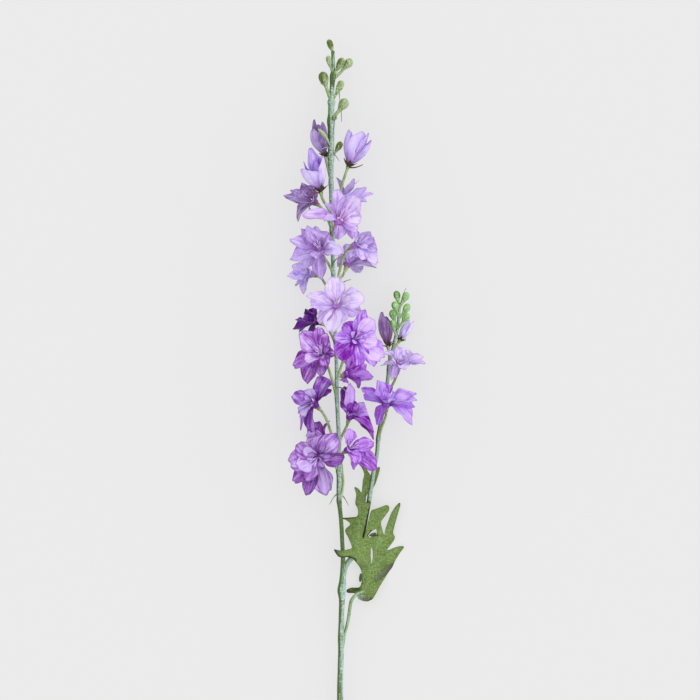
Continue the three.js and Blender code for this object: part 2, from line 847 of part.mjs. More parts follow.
/** One petal of a bloom from its row of the table. */
function bloomPetal(bloom, planes, [direction, reach, rise, width]) {
  const calyx = point(bloom.calyx);
  const throat = point(bloom.throat);
  const a = THREE.MathUtils.degToRad(direction);
  const tip = throat.clone().add(new THREE.Vector3(reach * Math.cos(a), reach * Math.sin(a), rise));
  const spread = tip.clone().sub(calyx);
  const lean = spread.dot(bloom.axis) / spread.length();
  const lateral = spread.clone().addScaledVector(bloom.axis, -spread.dot(bloom.axis)).normalize();
  const inner = smooth((lean - OUTER_LEAN) / (INNER_LEAN - OUTER_LEAN));
  const root = calyx
    .clone()
    .addScaledVector(bloom.axis, calyx.distanceTo(throat) * (ROOT_LOW + ROOT_STEP * inner))
    .addScaledVector(lateral, CORE * ROOT_OUT);
  const bow = throat
    .clone()
    .addScaledVector(bloom.axis, BOW_FORWARD * inner)
    .addScaledVector(lateral, BOW_OUT * spread.length());
  const tuft = {
    line: new THREE.Line3(throat, throat.clone().addScaledVector(bloom.axis, TUFT_LENGTH)),
    radius: TUFT_RADIUS,
  };
  const cell = [...planes, planeBeside(tuft, mix(root, tip, SHOULDER))];
  const side = bloom.axis.clone().cross(lateral).normalize();
  return petal({ root, bow, tip, side, width: width * FULLNESS, cell });
}

/** An open bloom: its core and its petals. */
function bloomGeometry(bloom) {
  const planes = cellOf(bloom);
  const profile = [[0, 0], [CALYX, 0], [CORE, 0.4], [CORE, 1], [0, 1]];
  return fused([
    turned(profile, point(bloom.calyx), point(bloom.throat), 6),
    ...bloom.petals.map((row) => bloomPetal(bloom, planes, row)),
  ]);
}

/** A closed purple bud: broad petals laid round an egg, their tips together. */
function budGeometry(bud) {
  const foot = point(bud.calyx);
  const tip = point(bud.tip);
  const run = foot.distanceTo(tip);
  const cell = cellOf(bud);
  const first = new THREE.Vector3(0, 0, 1).cross(bud.axis).normalize();
  const petals = Array.from({ length: BUD.petals }, (_, k) => {
    const turn = (2 * Math.PI * (k + BUD.turn)) / BUD.petals;
    const out = first.clone().applyAxisAngle(bud.axis, turn);
    const at = (along, away) =>
      foot.clone().addScaledVector(bud.axis, run * along).addScaledVector(out, away);
    return petal({
      root: at(BUD.rootAlong, BUD.rootOut),
      bow: at(BUD.bowAlong, bud.width * BUD.bowOut),
      tip: at(BUD_TIP.rise[k % 2], bud.width * (bud.spread ?? BUD_TIP.out)),
      side: bud.axis.clone().cross(out).normalize(),
      width: bud.width * BUD_TIP.width,
      cell,
      cup: BUD_TIP.cup,
      tilt: BUD_TIP.tilt,
    });
  });
  return fused([egg(foot, mix(foot, tip, BUD_CORE.along), bud.width * BUD_CORE.width), ...petals]);
}

/** The stamens of an open throat: a knob and thin filaments in a narrow sheaf. */
function tuftGeometry(bloom) {
  const foot = point(bloom.throat).addScaledVector(bloom.axis, GAP);
  const first = new THREE.Vector3(0, 0, 1).cross(bloom.axis).normalize();
  const profile = [[0, 0], [KNOB.radius, 0], [KNOB.top, 0.6], [0, 1]];
  const knob = turned(profile, foot, foot.clone().addScaledVector(bloom.axis, KNOB.length), 4);
  const filaments = Array.from({ length: FILAMENTS.count }, (_, k) => {
    const out = first.clone().applyAxisAngle(bloom.axis, (2 * Math.PI * k) / FILAMENTS.count);
    const at = (along, away) =>
      foot.clone().addScaledVector(bloom.axis, along).addScaledVector(out, away);
    const from = at(KNOB.length / 2, FILAMENTS.from);
    const to = at(TUFT_LENGTH - 2 * GAP, TUFT_RADIUS - FILAMENTS.from);
    return bar([[...from, FILAMENTS.foot], [...to, FILAMENTS.tip]], 3);
  });
  return fused([knob, ...filaments]);
}

// Stem, leaf and the whole spike --------------------------------------------------------------

/** A green bud and its short stalk in one, straight out of its node. */
function greenBud(rows, [x, y, z, length, width, node]) {
  const middle = new THREE.Vector3(x, y, z);
  const from = point(stemAt(rows, node));
  const run = from.distanceTo(middle) + length / 2;
  const tip = from.clone().lerp(middle, run / (run - length / 2));
  const share = (up) => 1 - (length * (1 - up)) / run;
  const profile = [
    [0, 0],
    [BUD_STALK, 0],
    [BUD_STALK, share(0)],
    [width * 0.5, share(0.45)],
    [width * 0.36, share(0.85)],
    [0, 1],
  ];
  return turned(profile, from, tip, 5);
}

/** Two small hooked sepals under a purple bud, on the end of its stalk. */
function hooks(bud) {
  const foot = point(bud.calyx).addScaledVector(bud.axis, -GAP - HOOK.below);
  const first = new THREE.Vector3(0, 0, 1).cross(bud.axis).normalize();
  return [HOOK.out, -HOOK.out].map((out) =>
    bract(foot, foot.clone().addScaledVector(first, out).addScaledVector(bud.axis, -HOOK.back)),
  );
}

function stemGeometry() {
  const stalks = [...BLOOMS, ...PURPLE_BUDS].map((head) => bar(head.stalk, 4));
  return fused([
    bar(STEM, 7),
    bar(BRANCH, 5),
    ...stalks,
    ...GREEN_BUDS.map((bud) => greenBud(STEM, bud)),
    ...BRANCH_BUDS.map((bud) => greenBud(BRANCH, bud)),
    ...BRACTS.map((b) => bract(point(b), point(b.slice(3)))),
    ...PURPLE_BUDS.flatMap(hooks),
  ]);
}

/** Height of the leaf's middle over the table: waved, and high where it lies over a stem. */
function leafHeight(x, y) {
  const foot = LEAF_FOOT.rise * Math.exp(-(((y - LEAF_FOOT.y) / LEAF_FOOT.spread) ** 2));
  const wave = LEAF_WAVES.reduce((sum, [h, alongX, alongY]) => {
    return sum + h * Math.sin(x / alongX + y / alongY);
  }, 0);
  const low = Math.max(BLADE / 2, LEAF_HEIGHT + foot + wave);
  return LEAF_RIDGES.reduce((height, [rows, from, to, spread]) => {
    const [middle, , z, radius] = stemAt(rows, y);
    const share =
      smooth((y - from) / LEAF_EASE + 1) *
      smooth((to - y) / LEAF_EASE + 1) *
      Math.exp(-(((x - middle) / spread) ** 2));
    return Math.max(height, low + (z + radius + LEAF_CLEAR - low) * share);
  }, low);
}

/** Triangles of an outline with holes, each a loop of indices into flat points. */
function cut(flat, loop, holes) {
  const at = (i) => new THREE.Vector2(...flat[i]);
  const all = [loop, ...holes].flat();
  return THREE.ShapeUtils.triangulateShape(
    loop.map(at),
    holes.map((hole) => hole.map(at)),
  ).map((corners) => corners.map((i) => all[i]));
}

/** The leaf: its outline cut in triangles, each in four, waved alike on both faces, and a stalk. */
function leafGeometry() {
  const flat = [...LEAF_OUTLINE, ...LEAF_HOLES.flat()];
  const indices = flat.map((_, i) => i);
  const [first, last] = LEAF_LOBE;
  const starts = LEAF_HOLES.map((_, i) => LEAF_OUTLINE.length + LEAF_HOLES.slice(0, i).flat().length);
  const holes = LEAF_HOLES.map((hole, i) => indices.slice(starts[i], starts[i] + hole.length));
  const lobe = indices.slice(first, last + 1);
  const body = [...indices.slice(0, first + 1), ...indices.slice(last, LEAF_OUTLINE.length)];
  const coarse = [...cut(flat, body, holes), ...cut(flat, lobe, [])];
  const halves = new Map();
  const half = (a, b) => {
    const key = Math.min(a, b) + "-" + Math.max(a, b);
    if (!halves.has(key)) {
      halves.set(key, flat.length);
      flat.push([(flat[a][0] + flat[b][0]) / 2, (flat[a][1] + flat[b][1]) / 2]);
    }
    return halves.get(key);
  };
  const faces = coarse.flatMap(([a, b, c]) => {
    const [ab, bc, ca] = [half(a, b), half(b, c), half(c, a)];
    return [[a, ab, ca], [ab, b, bc], [ca, bc, c], [ab, bc, ca]];
  });
  // A rim's edge is one that only one triangle holds.
  const edges = new Map();
  for (const [a, b, c] of faces)
    for (const [from, to] of [[a, b], [b, c], [c, a]])
      if (!edges.delete(to + "-" + from)) edges.set(from + "-" + to, [from, to]);
  const count = flat.length;
  const corners = [1, -1].flatMap((way) =>
    flat.map(([x, y]) => new THREE.Vector3(x, y, leafHeight(x, y) + (way * BLADE) / 2)),
  );
  const triangles = faces.flatMap(([a, b, c]) => [a, b, c, count + a, count + c, count + b]);
  for (const [a, b] of edges.values()) triangles.push(b, a, count + a, b, count + a, count + b);
  return fused([geometryOf(corners, triangles), bar(LEAF_STALK, 5)]);
}

const spike = new THREE.Group();

/** Adds one piece in its colour. */
function addPiece(name, geometry, color) {
  const material = new THREE.MeshStandardMaterial({ color, roughness: ROUGHNESS, metalness: 0 });
  const mesh = new THREE.Mesh(geometry, material);
  mesh.name = name;
  spike.add(mesh);
}

addPiece("stem", stemGeometry(), COLOURS.stem);
addPiece("leaf", leafGeometry(), COLOURS.leaf);
for (const bloom of BLOOMS) {
  const [, color] = PETAL_COLOURS.find(([from]) => bloom.calyx[1] > from);
  addPiece(bloom.name, bloomGeometry(bloom), color);
  if (bloom.axis.z > TUFT_FACING)
    addPiece(bloom.name.replace("bloom", "stamens"), tuftGeometry(bloom), COLOURS.stamen);
}
for (const bud of PURPLE_BUDS) addPiece(bud.name, budGeometry(bud), COLOURS.petalPale);

export default spike;
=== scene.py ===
"""Looks of a cut delphinium flower spike that lies on a table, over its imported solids.

Sizes are millimetres until a mesh is made. +Y runs along the stem to the tip, +X is the side of
the small branch, +Z is up and z = 0 is the table. A bloom grows out of its calyx along its axis
to the throat, and its petals spread from there. A petal gives way to whatever stands beside it.
"""

from __future__ import annotations

import logging
import math
from collections.abc import Mapping, Sequence
from dataclasses import dataclass, replace
from enum import Enum
from functools import cache

import bpy
import numpy as np
from mathutils.geometry import delaunay_2d_cdt
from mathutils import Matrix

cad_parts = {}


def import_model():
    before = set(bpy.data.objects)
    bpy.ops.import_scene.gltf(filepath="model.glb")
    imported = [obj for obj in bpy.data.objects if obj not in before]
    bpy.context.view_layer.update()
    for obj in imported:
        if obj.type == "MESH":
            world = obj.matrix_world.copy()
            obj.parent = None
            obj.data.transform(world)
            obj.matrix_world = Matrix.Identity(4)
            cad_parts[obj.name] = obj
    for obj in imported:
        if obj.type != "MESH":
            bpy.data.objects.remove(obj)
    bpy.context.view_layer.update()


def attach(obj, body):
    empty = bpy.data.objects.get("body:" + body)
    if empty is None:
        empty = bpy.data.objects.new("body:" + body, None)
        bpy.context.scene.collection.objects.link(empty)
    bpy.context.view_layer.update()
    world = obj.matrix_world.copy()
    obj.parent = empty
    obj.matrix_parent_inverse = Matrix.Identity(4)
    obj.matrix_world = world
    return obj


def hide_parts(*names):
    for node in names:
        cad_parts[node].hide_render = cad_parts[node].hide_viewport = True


log = logging.getLogger("spike")

MM = 0.001
BODY = "root"
UP = np.array([0.0, 0.0, 1.0])

GAP = 0.3  # air between two pieces of the solid model
HALF_BLADE = 0.4  # half the thickness that a petal keeps free round its middle
SLACK = 0.12  # what a bent petal keeps beyond its gap
GIVE = np.array([0.5, 0.5, 1.0])  # how readily a petal gives way along x, y and z
SWEEPS = 24  # rounds of bending until every plane is kept
NEARBY = 60.0  # a stalk farther off than this never meets a petal
SHOULDER = 0.35  # the share of a petal's length that says which side of a stalk it passes
FREE = (np.zeros((0, 3)), np.zeros(0))  # planes of a petal that has nothing beside it

Row = Sequence[float]
Curve = tuple[np.ndarray, np.ndarray, np.ndarray]  # root, bow and tip of a petal
Planes = tuple[np.ndarray, np.ndarray]  # normals, and how far out along them each plane stands


class Slot(Enum):
    """Material slots of the record."""

    STEM = "stem"
    LEAF = "leaf"
    PALE = "petals_pale"
    MID = "petals_mid"
    DEEP = "petals_deep"
    STAMENS = "stamens"


# Small maths ------------------------------------------------------------------------------------


def unit(v: np.ndarray) -> np.ndarray:
    """Vectors of length one along the last axis."""
    return v / np.maximum(np.linalg.norm(v, axis=-1, keepdims=True), 1e-12)


def smooth(t: np.ndarray | float) -> np.ndarray:
    """3t^2 - 2t^3, with t kept between 0 and 1."""
    c = np.clip(t, 0.0, 1.0)
    return c * c * (3 - 2 * c)


def bump(
    t: np.ndarray, middle: float | np.ndarray, spread: float | np.ndarray
) -> np.ndarray:
    """A bell: e to the power of minus the square of (t - middle) / spread."""
    return np.exp(-(((t - middle) / spread) ** 2))


def round_about(sides: int) -> np.ndarray:
    """Evenly spaced angles once round."""
    return 2 * np.pi * np.arange(sides) / sides


def bezier(curve: Curve, t: float | np.ndarray) -> np.ndarray:
    """The quadratic Bezier curve: (1 - t)^2 root + 2 t (1 - t) bow + t^2 tip."""
    root, bow, tip = curve
    return (1 - t) ** 2 * root + 2 * t * (1 - t) * bow + t**2 * tip


def row_at(rows: Sequence[Row], y: float | np.ndarray) -> np.ndarray:
    """Values of a stem's straight pieces at a given y."""
    table = np.array(rows)
    return np.stack([np.interp(y, table[:, 1], table[:, k]) for k in range(table.shape[1])], -1)


def curved(rows: Sequence[Row], step: float) -> np.ndarray:
    """Rows on a smooth curve through the given ones.

    Catmull-Rom: between rows b and c, the cubic with slopes (c - a) / 2 and (d - b) / 2.

    Args:
        rows: points, with any further values after x, y and z.
        step: distance between the new rows.

    Returns:
        The new rows, from the first to the last.
    """
    table = np.array(rows, dtype=float)
    before = np.vstack([2 * table[0] - table[1], table, 2 * table[-1] - table[-2]])
    run = np.r_[0, np.cumsum(np.linalg.norm(np.diff(table[:, :3], axis=0), axis=1))]
    s = np.linspace(0, run[-1], max(3, int(run[-1] / step) + 1))
    i = np.clip(np.searchsorted(run, s, side="right") - 1, 0, len(table) - 2)
    t = ((s - run[i]) / (run[i + 1] - run[i]))[:, None]
    a, b, c, d = before[i], before[i + 1], before[i + 2], before[i + 3]
    return b + 0.5 * t * (c - a + t * (2 * a - 5 * b + 4 * c - d + t * (3 * (b - c) + d - a)))


def inside(points: np.ndarray, loop: np.ndarray) -> np.ndarray:
    """Whether flat points lie in a closed loop: a ray from each crosses it an odd number of times."""
    a, b = loop, np.roll(loop, -1, axis=0)
    x, y = points[:, None, 0], points[:, None, 1]
    spans = (a[:, 1] > y) != (b[:, 1] > y)
    rise = np.where(a[:, 1] == b[:, 1], 1.0, b[:, 1] - a[:, 1])
    return ((spans & (x < a[:, 0] + (b[:, 0] - a[:, 0]) * (y - a[:, 1]) / rise)).sum(1) % 2) == 1


# Meshes -----------------------------------------------------------------------------------------


@dataclass
class Patch:
    """Closed surfaces as plain arrays.

    Attributes:
        points: corners, (n, 3), in millimetres.
        faces: arrays of corner numbers, (m, 3) or (m, 4) each.
        uvs: for each array of faces, the pattern place of each corner, (m, k, 2).
        tone: for each corner, the value that its finish turns into colour, painted light and shade
            included.
        lot: for each corner, its petal's own number, from which the petal's streaks start.
    """

    points: np.ndarray
    faces: list[np.ndarray]
    uvs: list[np.ndarray]
    tone: np.ndarray
    lot: float | np.ndarray = 0.0

    @staticmethod
    def joined(patches: Sequence[Patch]) -> Patch:
        """All the patches as one."""
        starts = np.cumsum([0] + [len(p.points) for p in patches])
        return Patch(
            np.vstack([p.points for p in patches]),
            [f + start for p, start in zip(patches, starts) for f in p.faces],
            [uv for p in patches for uv in p.uvs],
            np.concatenate([p.tone for p in patches]),
            np.concatenate([np.broadcast_to(p.lot, p.tone.shape) for p in patches]),
        )

    def outward(self) -> Patch:
        """The same patch with its faces turned out: its volume, a sum over fans, is positive."""
        fans = [
            (f[:, 0], f[:, k], f[:, k + 1]) for f in self.faces for k in range(1, f.shape[1] - 1)
        ]
        p = self.points - self.points.mean(0)
        volume = sum((p[a] * np.cross(p[b], p[c])).sum() for a, b, c in fans)
        if volume < 0:
            self.faces = [f[:, ::-1] for f in self.faces]
            self.uvs = [uv[:, ::-1] for uv in self.uvs]
        return self

    def piece(
        self, name: str, material: bpy.types.Material, slot: Slot, *nodes: str, crease: float = 50
    ) -> bpy.types.Object:
        """Makes the Blender object.

        Args:
            name: name of the piece.
            material: its finish.
            slot: the record's slot that the finish stands for; not used.
            nodes: CAD nodes that the piece replaces.
            crease: edges sharper than so many degrees stay sharp.

        Returns:
            The object, which rides on the spike's one body.
        """
        mesh = bpy.data.meshes.new(name)
        mesh.vertices.add(len(self.points))
        mesh.vertices.foreach_set("co", (self.points * MM).ravel())
        corners = np.concatenate([f.ravel() for f in self.faces])
        sizes = np.concatenate([np.full(len(f), f.shape[1]) for f in self.faces])
        mesh.loops.add(len(corners))
        mesh.loops.foreach_set("vertex_index", corners.astype(np.int32))
        mesh.polygons.add(len(sizes))
        mesh.polygons.foreach_set("loop_start", np.r_[0, np.cumsum(sizes)[:-1]].astype(np.int32))
        mesh.polygons.foreach_set("use_smooth", np.ones(len(sizes), dtype=bool))
        mesh.update(calc_edges=True)
        places = mesh.uv_layers.new(name="UVMap")
        places.data.foreach_set("uv", np.concatenate([uv.ravel() for uv in self.uvs]))
        for label, values in (("tone", self.tone), ("lot", self.lot)):
            made = mesh.attributes.new(label, "FLOAT", "POINT")
            values = np.broadcast_to(values, len(self.points)).astype(np.float32)
            made.data.foreach_set("value", values)
        mesh.set_sharp_from_angle(angle=math.radians(crease))
        mesh.materials.append(material)
        made = bpy.data.objects.new(name, mesh)
        bpy.context.scene.collection.objects.link(made)
        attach(made, BODY)
        if nodes:
            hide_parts(*nodes)
        log.info("%s: %d faces, %s", name, len(sizes), material.name)
        return made


def strip(grid: np.ndarray) -> np.ndarray:
    """The quads between neighbouring rows and columns of a grid of corner numbers."""
    return np.stack([grid[:-1, :-1], grid[:-1, 1:], grid[1:, 1:], grid[1:, :-1]], -1).reshape(-1, 4)


def strip_uv(across: np.ndarray, along: np.ndarray) -> np.ndarray:
    """The pattern places of a strip's corners, from grids of both values."""
    both = np.stack([across, along], -1)
    return np.stack([both[:-1, :-1], both[:-1, 1:], both[1:, 1:], both[1:, :-1]], 2).reshape(-1, 4, 2)


def shell(grid: np.ndarray, along: np.ndarray, thick: np.ndarray, tone: np.ndarray) -> Patch:
    """A thin closed blade about a grid of points.

    Each point is moved half the thickness to either side along the surface's normal, which is
    the product of the steps along and across, and a rim joins the two faces.

    Args:
        grid: points, (rows, columns, 3).
        along: share of the length at each row.
        thick: thickness at each point, (rows, columns).
        tone: tone at each point, (rows, columns).

    Returns:
        The blade.
    """
    rows, columns = grid.shape[:2]
    normal = unit(np.cross(np.gradient(grid, axis=0), np.gradient(grid, axis=1)))
    half = normal * thick[..., None] / 2
    count = rows * columns
    upper = np.arange(count).reshape(rows, columns)
    rim = np.concatenate([upper[0], upper[1:, -1], upper[-1, -2::-1], upper[-2:0:-1, 0], upper[0, :1]])
    v, u = np.meshgrid(np.linspace(0, 1, columns), along)
    places = strip_uv(v, u)
    edge = np.stack([v.ravel(), u.ravel()], -1)[rim]
    rim_quads = strip(np.stack([rim, rim + count]))
    rim_places = strip_uv(*np.broadcast_to(edge.T[:, None], (2, 2, len(rim))))
    return Patch(
        np.vstack([(grid + half).reshape(-1, 3), (grid - half).reshape(-1, 3)]),
        [strip(upper), strip(upper)[:, ::-1] + count, rim_quads[:, ::-1]],
        [places, places[:, ::-1], rim_places[:, ::-1]],
        np.tile(tone.ravel(), 2),
    ).outward()


def tube(
    rows: np.ndarray,
    sides: int,
    relief: np.ndarray | float = 0.0,
    tone: np.ndarray | float = 0.5,
    axis: np.ndarray | None = None,
) -> Patch:
    """A closed round bar along rows of x, y, z and radius.

    A ring's point stands at centre + radius * (1 + relief) * (cos a * across + sin a * other).
    Across is square to the line and to the direction that the line turns least about.

    Args:
        rows: the centre line and its radius.
        sides: an even number of points round it.
        relief: change of the radius as a share of it, for each row and side.
        tone: its tone, for all of it or for each row.
        axis: for a turned piece whose profile folds back, the line that it is turned about.

    Returns:
        The bar, whose pattern runs once round in u and in millimetres along in v.
    """
    centre, radius = rows[:, :3], rows[:, 3]
    tangent = unit(np.gradient(centre, axis=0)) if axis is None else np.tile(axis, (len(rows), 1))
    fixed = np.linalg.svd(tangent)[2][-1]
    across = unit(np.cross(tangent, fixed))
    other = np.cross(tangent, across)
    a = round_about(sides)
    far = radius[:, None] * (1 + relief)
    ring = far[..., None] * (
        np.cos(a)[:, None] * across[:, None] + np.sin(a)[:, None] * other[:, None]
    )
    points = (centre[:, None] + ring).reshape(-1, 3)
    numbers = np.arange(len(points)).reshape(-1, sides)
    wrapped = np.hstack([numbers, numbers[:, :1]])
    run = np.r_[0, np.cumsum(np.linalg.norm(np.diff(centre, axis=0), axis=1))]
    u, v = np.meshgrid(np.arange(sides + 1) / sides, run)
    k = np.arange(sides // 2 - 1)
    cap = np.stack([k, k + 1, sides - 2 - k, sides - 1 - k], -1)
    ends = [cap[:, ::-1], cap + numbers[-1, 0]]
    places = np.stack([cap / sides, np.zeros_like(cap, dtype=float)], -1)
    return Patch(
        points,
        [strip(wrapped), *ends],
        [strip_uv(u, v), places[:, ::-1], places + [0, run[-1]]],
        np.repeat(np.broadcast_to(tone, len(rows)), sides),
    ).outward()


# Finishes ---------------------------------------------------------------------------------------


def colour(code: str) -> tuple[float, float, float, float]:
    """An sRGB hex value as the linear colour that a node takes."""
    parts = [int(code[i : i + 2], 16) / 255 for i in (1, 3, 5)]
    return (*[c / 12.92 if c <= 0.04045 else ((c + 0.055) / 1.055) ** 2.4 for c in parts], 1.0)


def per_mm(size: float) -> float:
    """The scale of a texture on Object coordinates whose marks are so many millimetres wide."""
    return 1 / (size * MM)


def blank(name: str) -> tuple[bpy.types.Material, bpy.types.NodeTree, bpy.types.Node]:
    """A new material, its node tree and the shader in it."""
    material = bpy.data.materials.new(name)
    material.use_nodes = True
    return material, material.node_tree, material.node_tree.nodes["Principled BSDF"]


def feed(tree: bpy.types.NodeTree, node: bpy.types.Node, inputs: Mapping) -> None:
    """Sets inputs of a node.

    Args:
        tree: the material's node tree.
        node: the node.
        inputs: for each input, by name or number, a value or the output that feeds it.
    """
    for key, value in inputs.items():
        if isinstance(value, bpy.types.NodeSocket):
            tree.links.new(value, node.inputs[key])
        else:
            node.inputs[key].default_value = value


def add(
    tree: bpy.types.NodeTree, kind: str, inputs: Mapping = {}, out: int | str = 0, **settings
) -> bpy.types.NodeSocket:
    """Adds a node.

    Args:
        tree: the material's node tree.
        kind: the node's type, without its first word Shader.
        inputs: for each input, by name or number, a value or the output that feeds it.
        out: which of its outputs is wanted.
        settings: its properties.

    Returns:
        That output.
    """
    made = tree.nodes.new("ShaderNode" + kind)
    for name, value in settings.items():
        setattr(made, name, value)
    feed(tree, made, inputs)
    return made.outputs[out]


@dataclass(frozen=True)
class PetalSilk:
    """Polyester silk, woven very fine, heat-pressed with veins and dyed darker to the throat.

    Threads of 0.1 mm are far below what shows, so the weave is drawn at 0.9 mm. The eye sees soft
    streaks along the petal, a matt face with a faint pale sheen, and a slightly darker cut edge with
    painted shade where petals meet.
    """

    name: str
    limb: str
    light: str
    deep: str
    vein: str = "#8C4FA8"
    # edge: colour of the cut edge, also of the painted shade where petals meet
    edge: str = "#7F5FB2"
    throat: str = "#9A5AB4"
    veins: float = 0.5  # strength of the dark lines at the throat
    edge_and_gap_shade: float = 0.5  # strength of the cut edge and of the painted shade where petals meet
    slot: Slot = Slot.PALE

    STREAKS = (9, 2.2, 31)  # broad streaks to a petal's width and length, and its own start
    LINES = (17, 1.2, 57)  # veins likewise, about twice as fine
    BLOTCH = 6.0  # size of a blotch in millimetres
    THREAD = 0.9  # drawn width of a thread in millimetres

    @cache
    def make(self) -> bpy.types.Material:
        """Builds the material."""
        material, tree, shader = blank("petal silk, " + self.name)
        place = add(tree, "TexCoord").node.outputs
        parts = add(tree, "SeparateXYZ", {0: place["UV"]}).node.outputs
        across, along = parts["X"], parts["Y"]
        tone = add(tree, "Attribute", out="Fac", attribute_name="tone")
        lot = add(tree, "Attribute", out="Fac", attribute_name="lot")
        own = add(tree, "CombineXYZ", {"X": across, "Y": along, "Z": lot})
        wide = add(tree, "Mapping", {"Vector": own, "Scale": self.STREAKS})
        streak = add(tree, "TexNoise", {"Vector": wide, "Scale": 1, "Detail": 3})
        narrow = add(tree, "Mapping", {"Vector": own, "Scale": self.LINES})
        lines = add(tree, "TexNoise", {"Vector": narrow, "Scale": 1, "Detail": 2})
        vein = add(tree, "MapRange", {0: lines, 1: 0.53, 2: 0.6}, interpolation_type="SMOOTHSTEP")
        blotch, weave = (
            add(tree, "TexNoise", {"Vector": place["Object"], "Scale": per_mm(size), "Detail": detail})
            for size, detail in ((self.BLOTCH, 2), (self.THREAD, 1))
        )
        # The petal's tone, painted light and shade included, with streaks, blotches and threads on it,
        # from the deep colour to the light.
        mixed = tone
        for marks, depth in ((streak, 0.36), (blotch, 0.2), (weave, 0.12)):
            part = add(tree, "MapRange", {0: marks, 1: 0.3, 2: 0.7, 3: -depth, 4: depth})
            mixed = add(tree, "Math", {0: mixed, 1: part}, operation="ADD")
        low = add(tree, "MapRange", {0: mixed, 1: 0.0, 2: 0.5})
        high = add(tree, "MapRange", {0: mixed, 1: 0.5, 2: 1.0})
        # The throat's dye fades out short of the middle, and the veins grow faint to the tip.
        throat = add(tree, "MapRange", {0: along, 1: 0.08, 2: 0.44, 3: 0.68, 4: 0.0})
        fade = add(tree, "MapRange", {0: along, 1: 0.25, 2: 0.85, 3: self.veins, 4: self.veins * 0.4})
        dark = add(tree, "Math", {0: vein, 1: fade}, operation="MULTIPLY")
        # The cut edge, darker in its dye and with painted shade where petals meet: the outer fifth of
        # each half, and the last bit of the tip.
        off = add(tree, "Math", {0: across, 1: 0.5}, operation="SUBTRACT")
        off = add(tree, "Math", {0: off}, operation="ABSOLUTE")
        rim = add(tree, "MapRange", {0: off, 1: 0.4, 2: 0.48, 3: 0.0, 4: self.edge_and_gap_shade})
        end = add(tree, "MapRange", {0: along, 1: 0.94, 2: 0.99, 3: 0.0, 4: self.edge_and_gap_shade})
        cut = add(tree, "Math", {0: rim, 1: end}, operation="MAXIMUM")
        face = colour(self.deep)
        for share, dye in (
            (low, self.limb),
            (high, self.light),
            (throat, self.throat),
            (dark, self.vein),
            (cut, self.edge),
        ):
            face = add(tree, "Mix", {0: share, 6: face, 7: colour(dye)}, out=2, data_type="RGBA")
        # Painted light: the dye is made fuller and brighter, as light that comes through the thin cloth
        # would make it.
        face = add(tree, "HueSaturation", {"Saturation": 1.07, "Value": 1.09, "Color": face})
        height = add(tree, "Math", {0: lines, 1: streak}, operation="ADD")
        height = add(tree, "Math", {0: weave, 1: 0.25, 2: height}, operation="MULTIPLY_ADD")
        normal = add(tree, "Bump", {"Strength": 0.35, "Distance": 0.6 * MM, "Height": height})
        inputs = {
            "Base Color": face,
            "Normal": normal,
            "Roughness": 0.62,
            "Specular IOR Level": 0.25,
            "Sheen Weight": 0.18,
            "Sheen Roughness": 0.45,
            "Subsurface Weight": 0.12,
            "Subsurface Scale": 0.8 * MM,
        }
        feed(tree, shader, inputs)
        return material


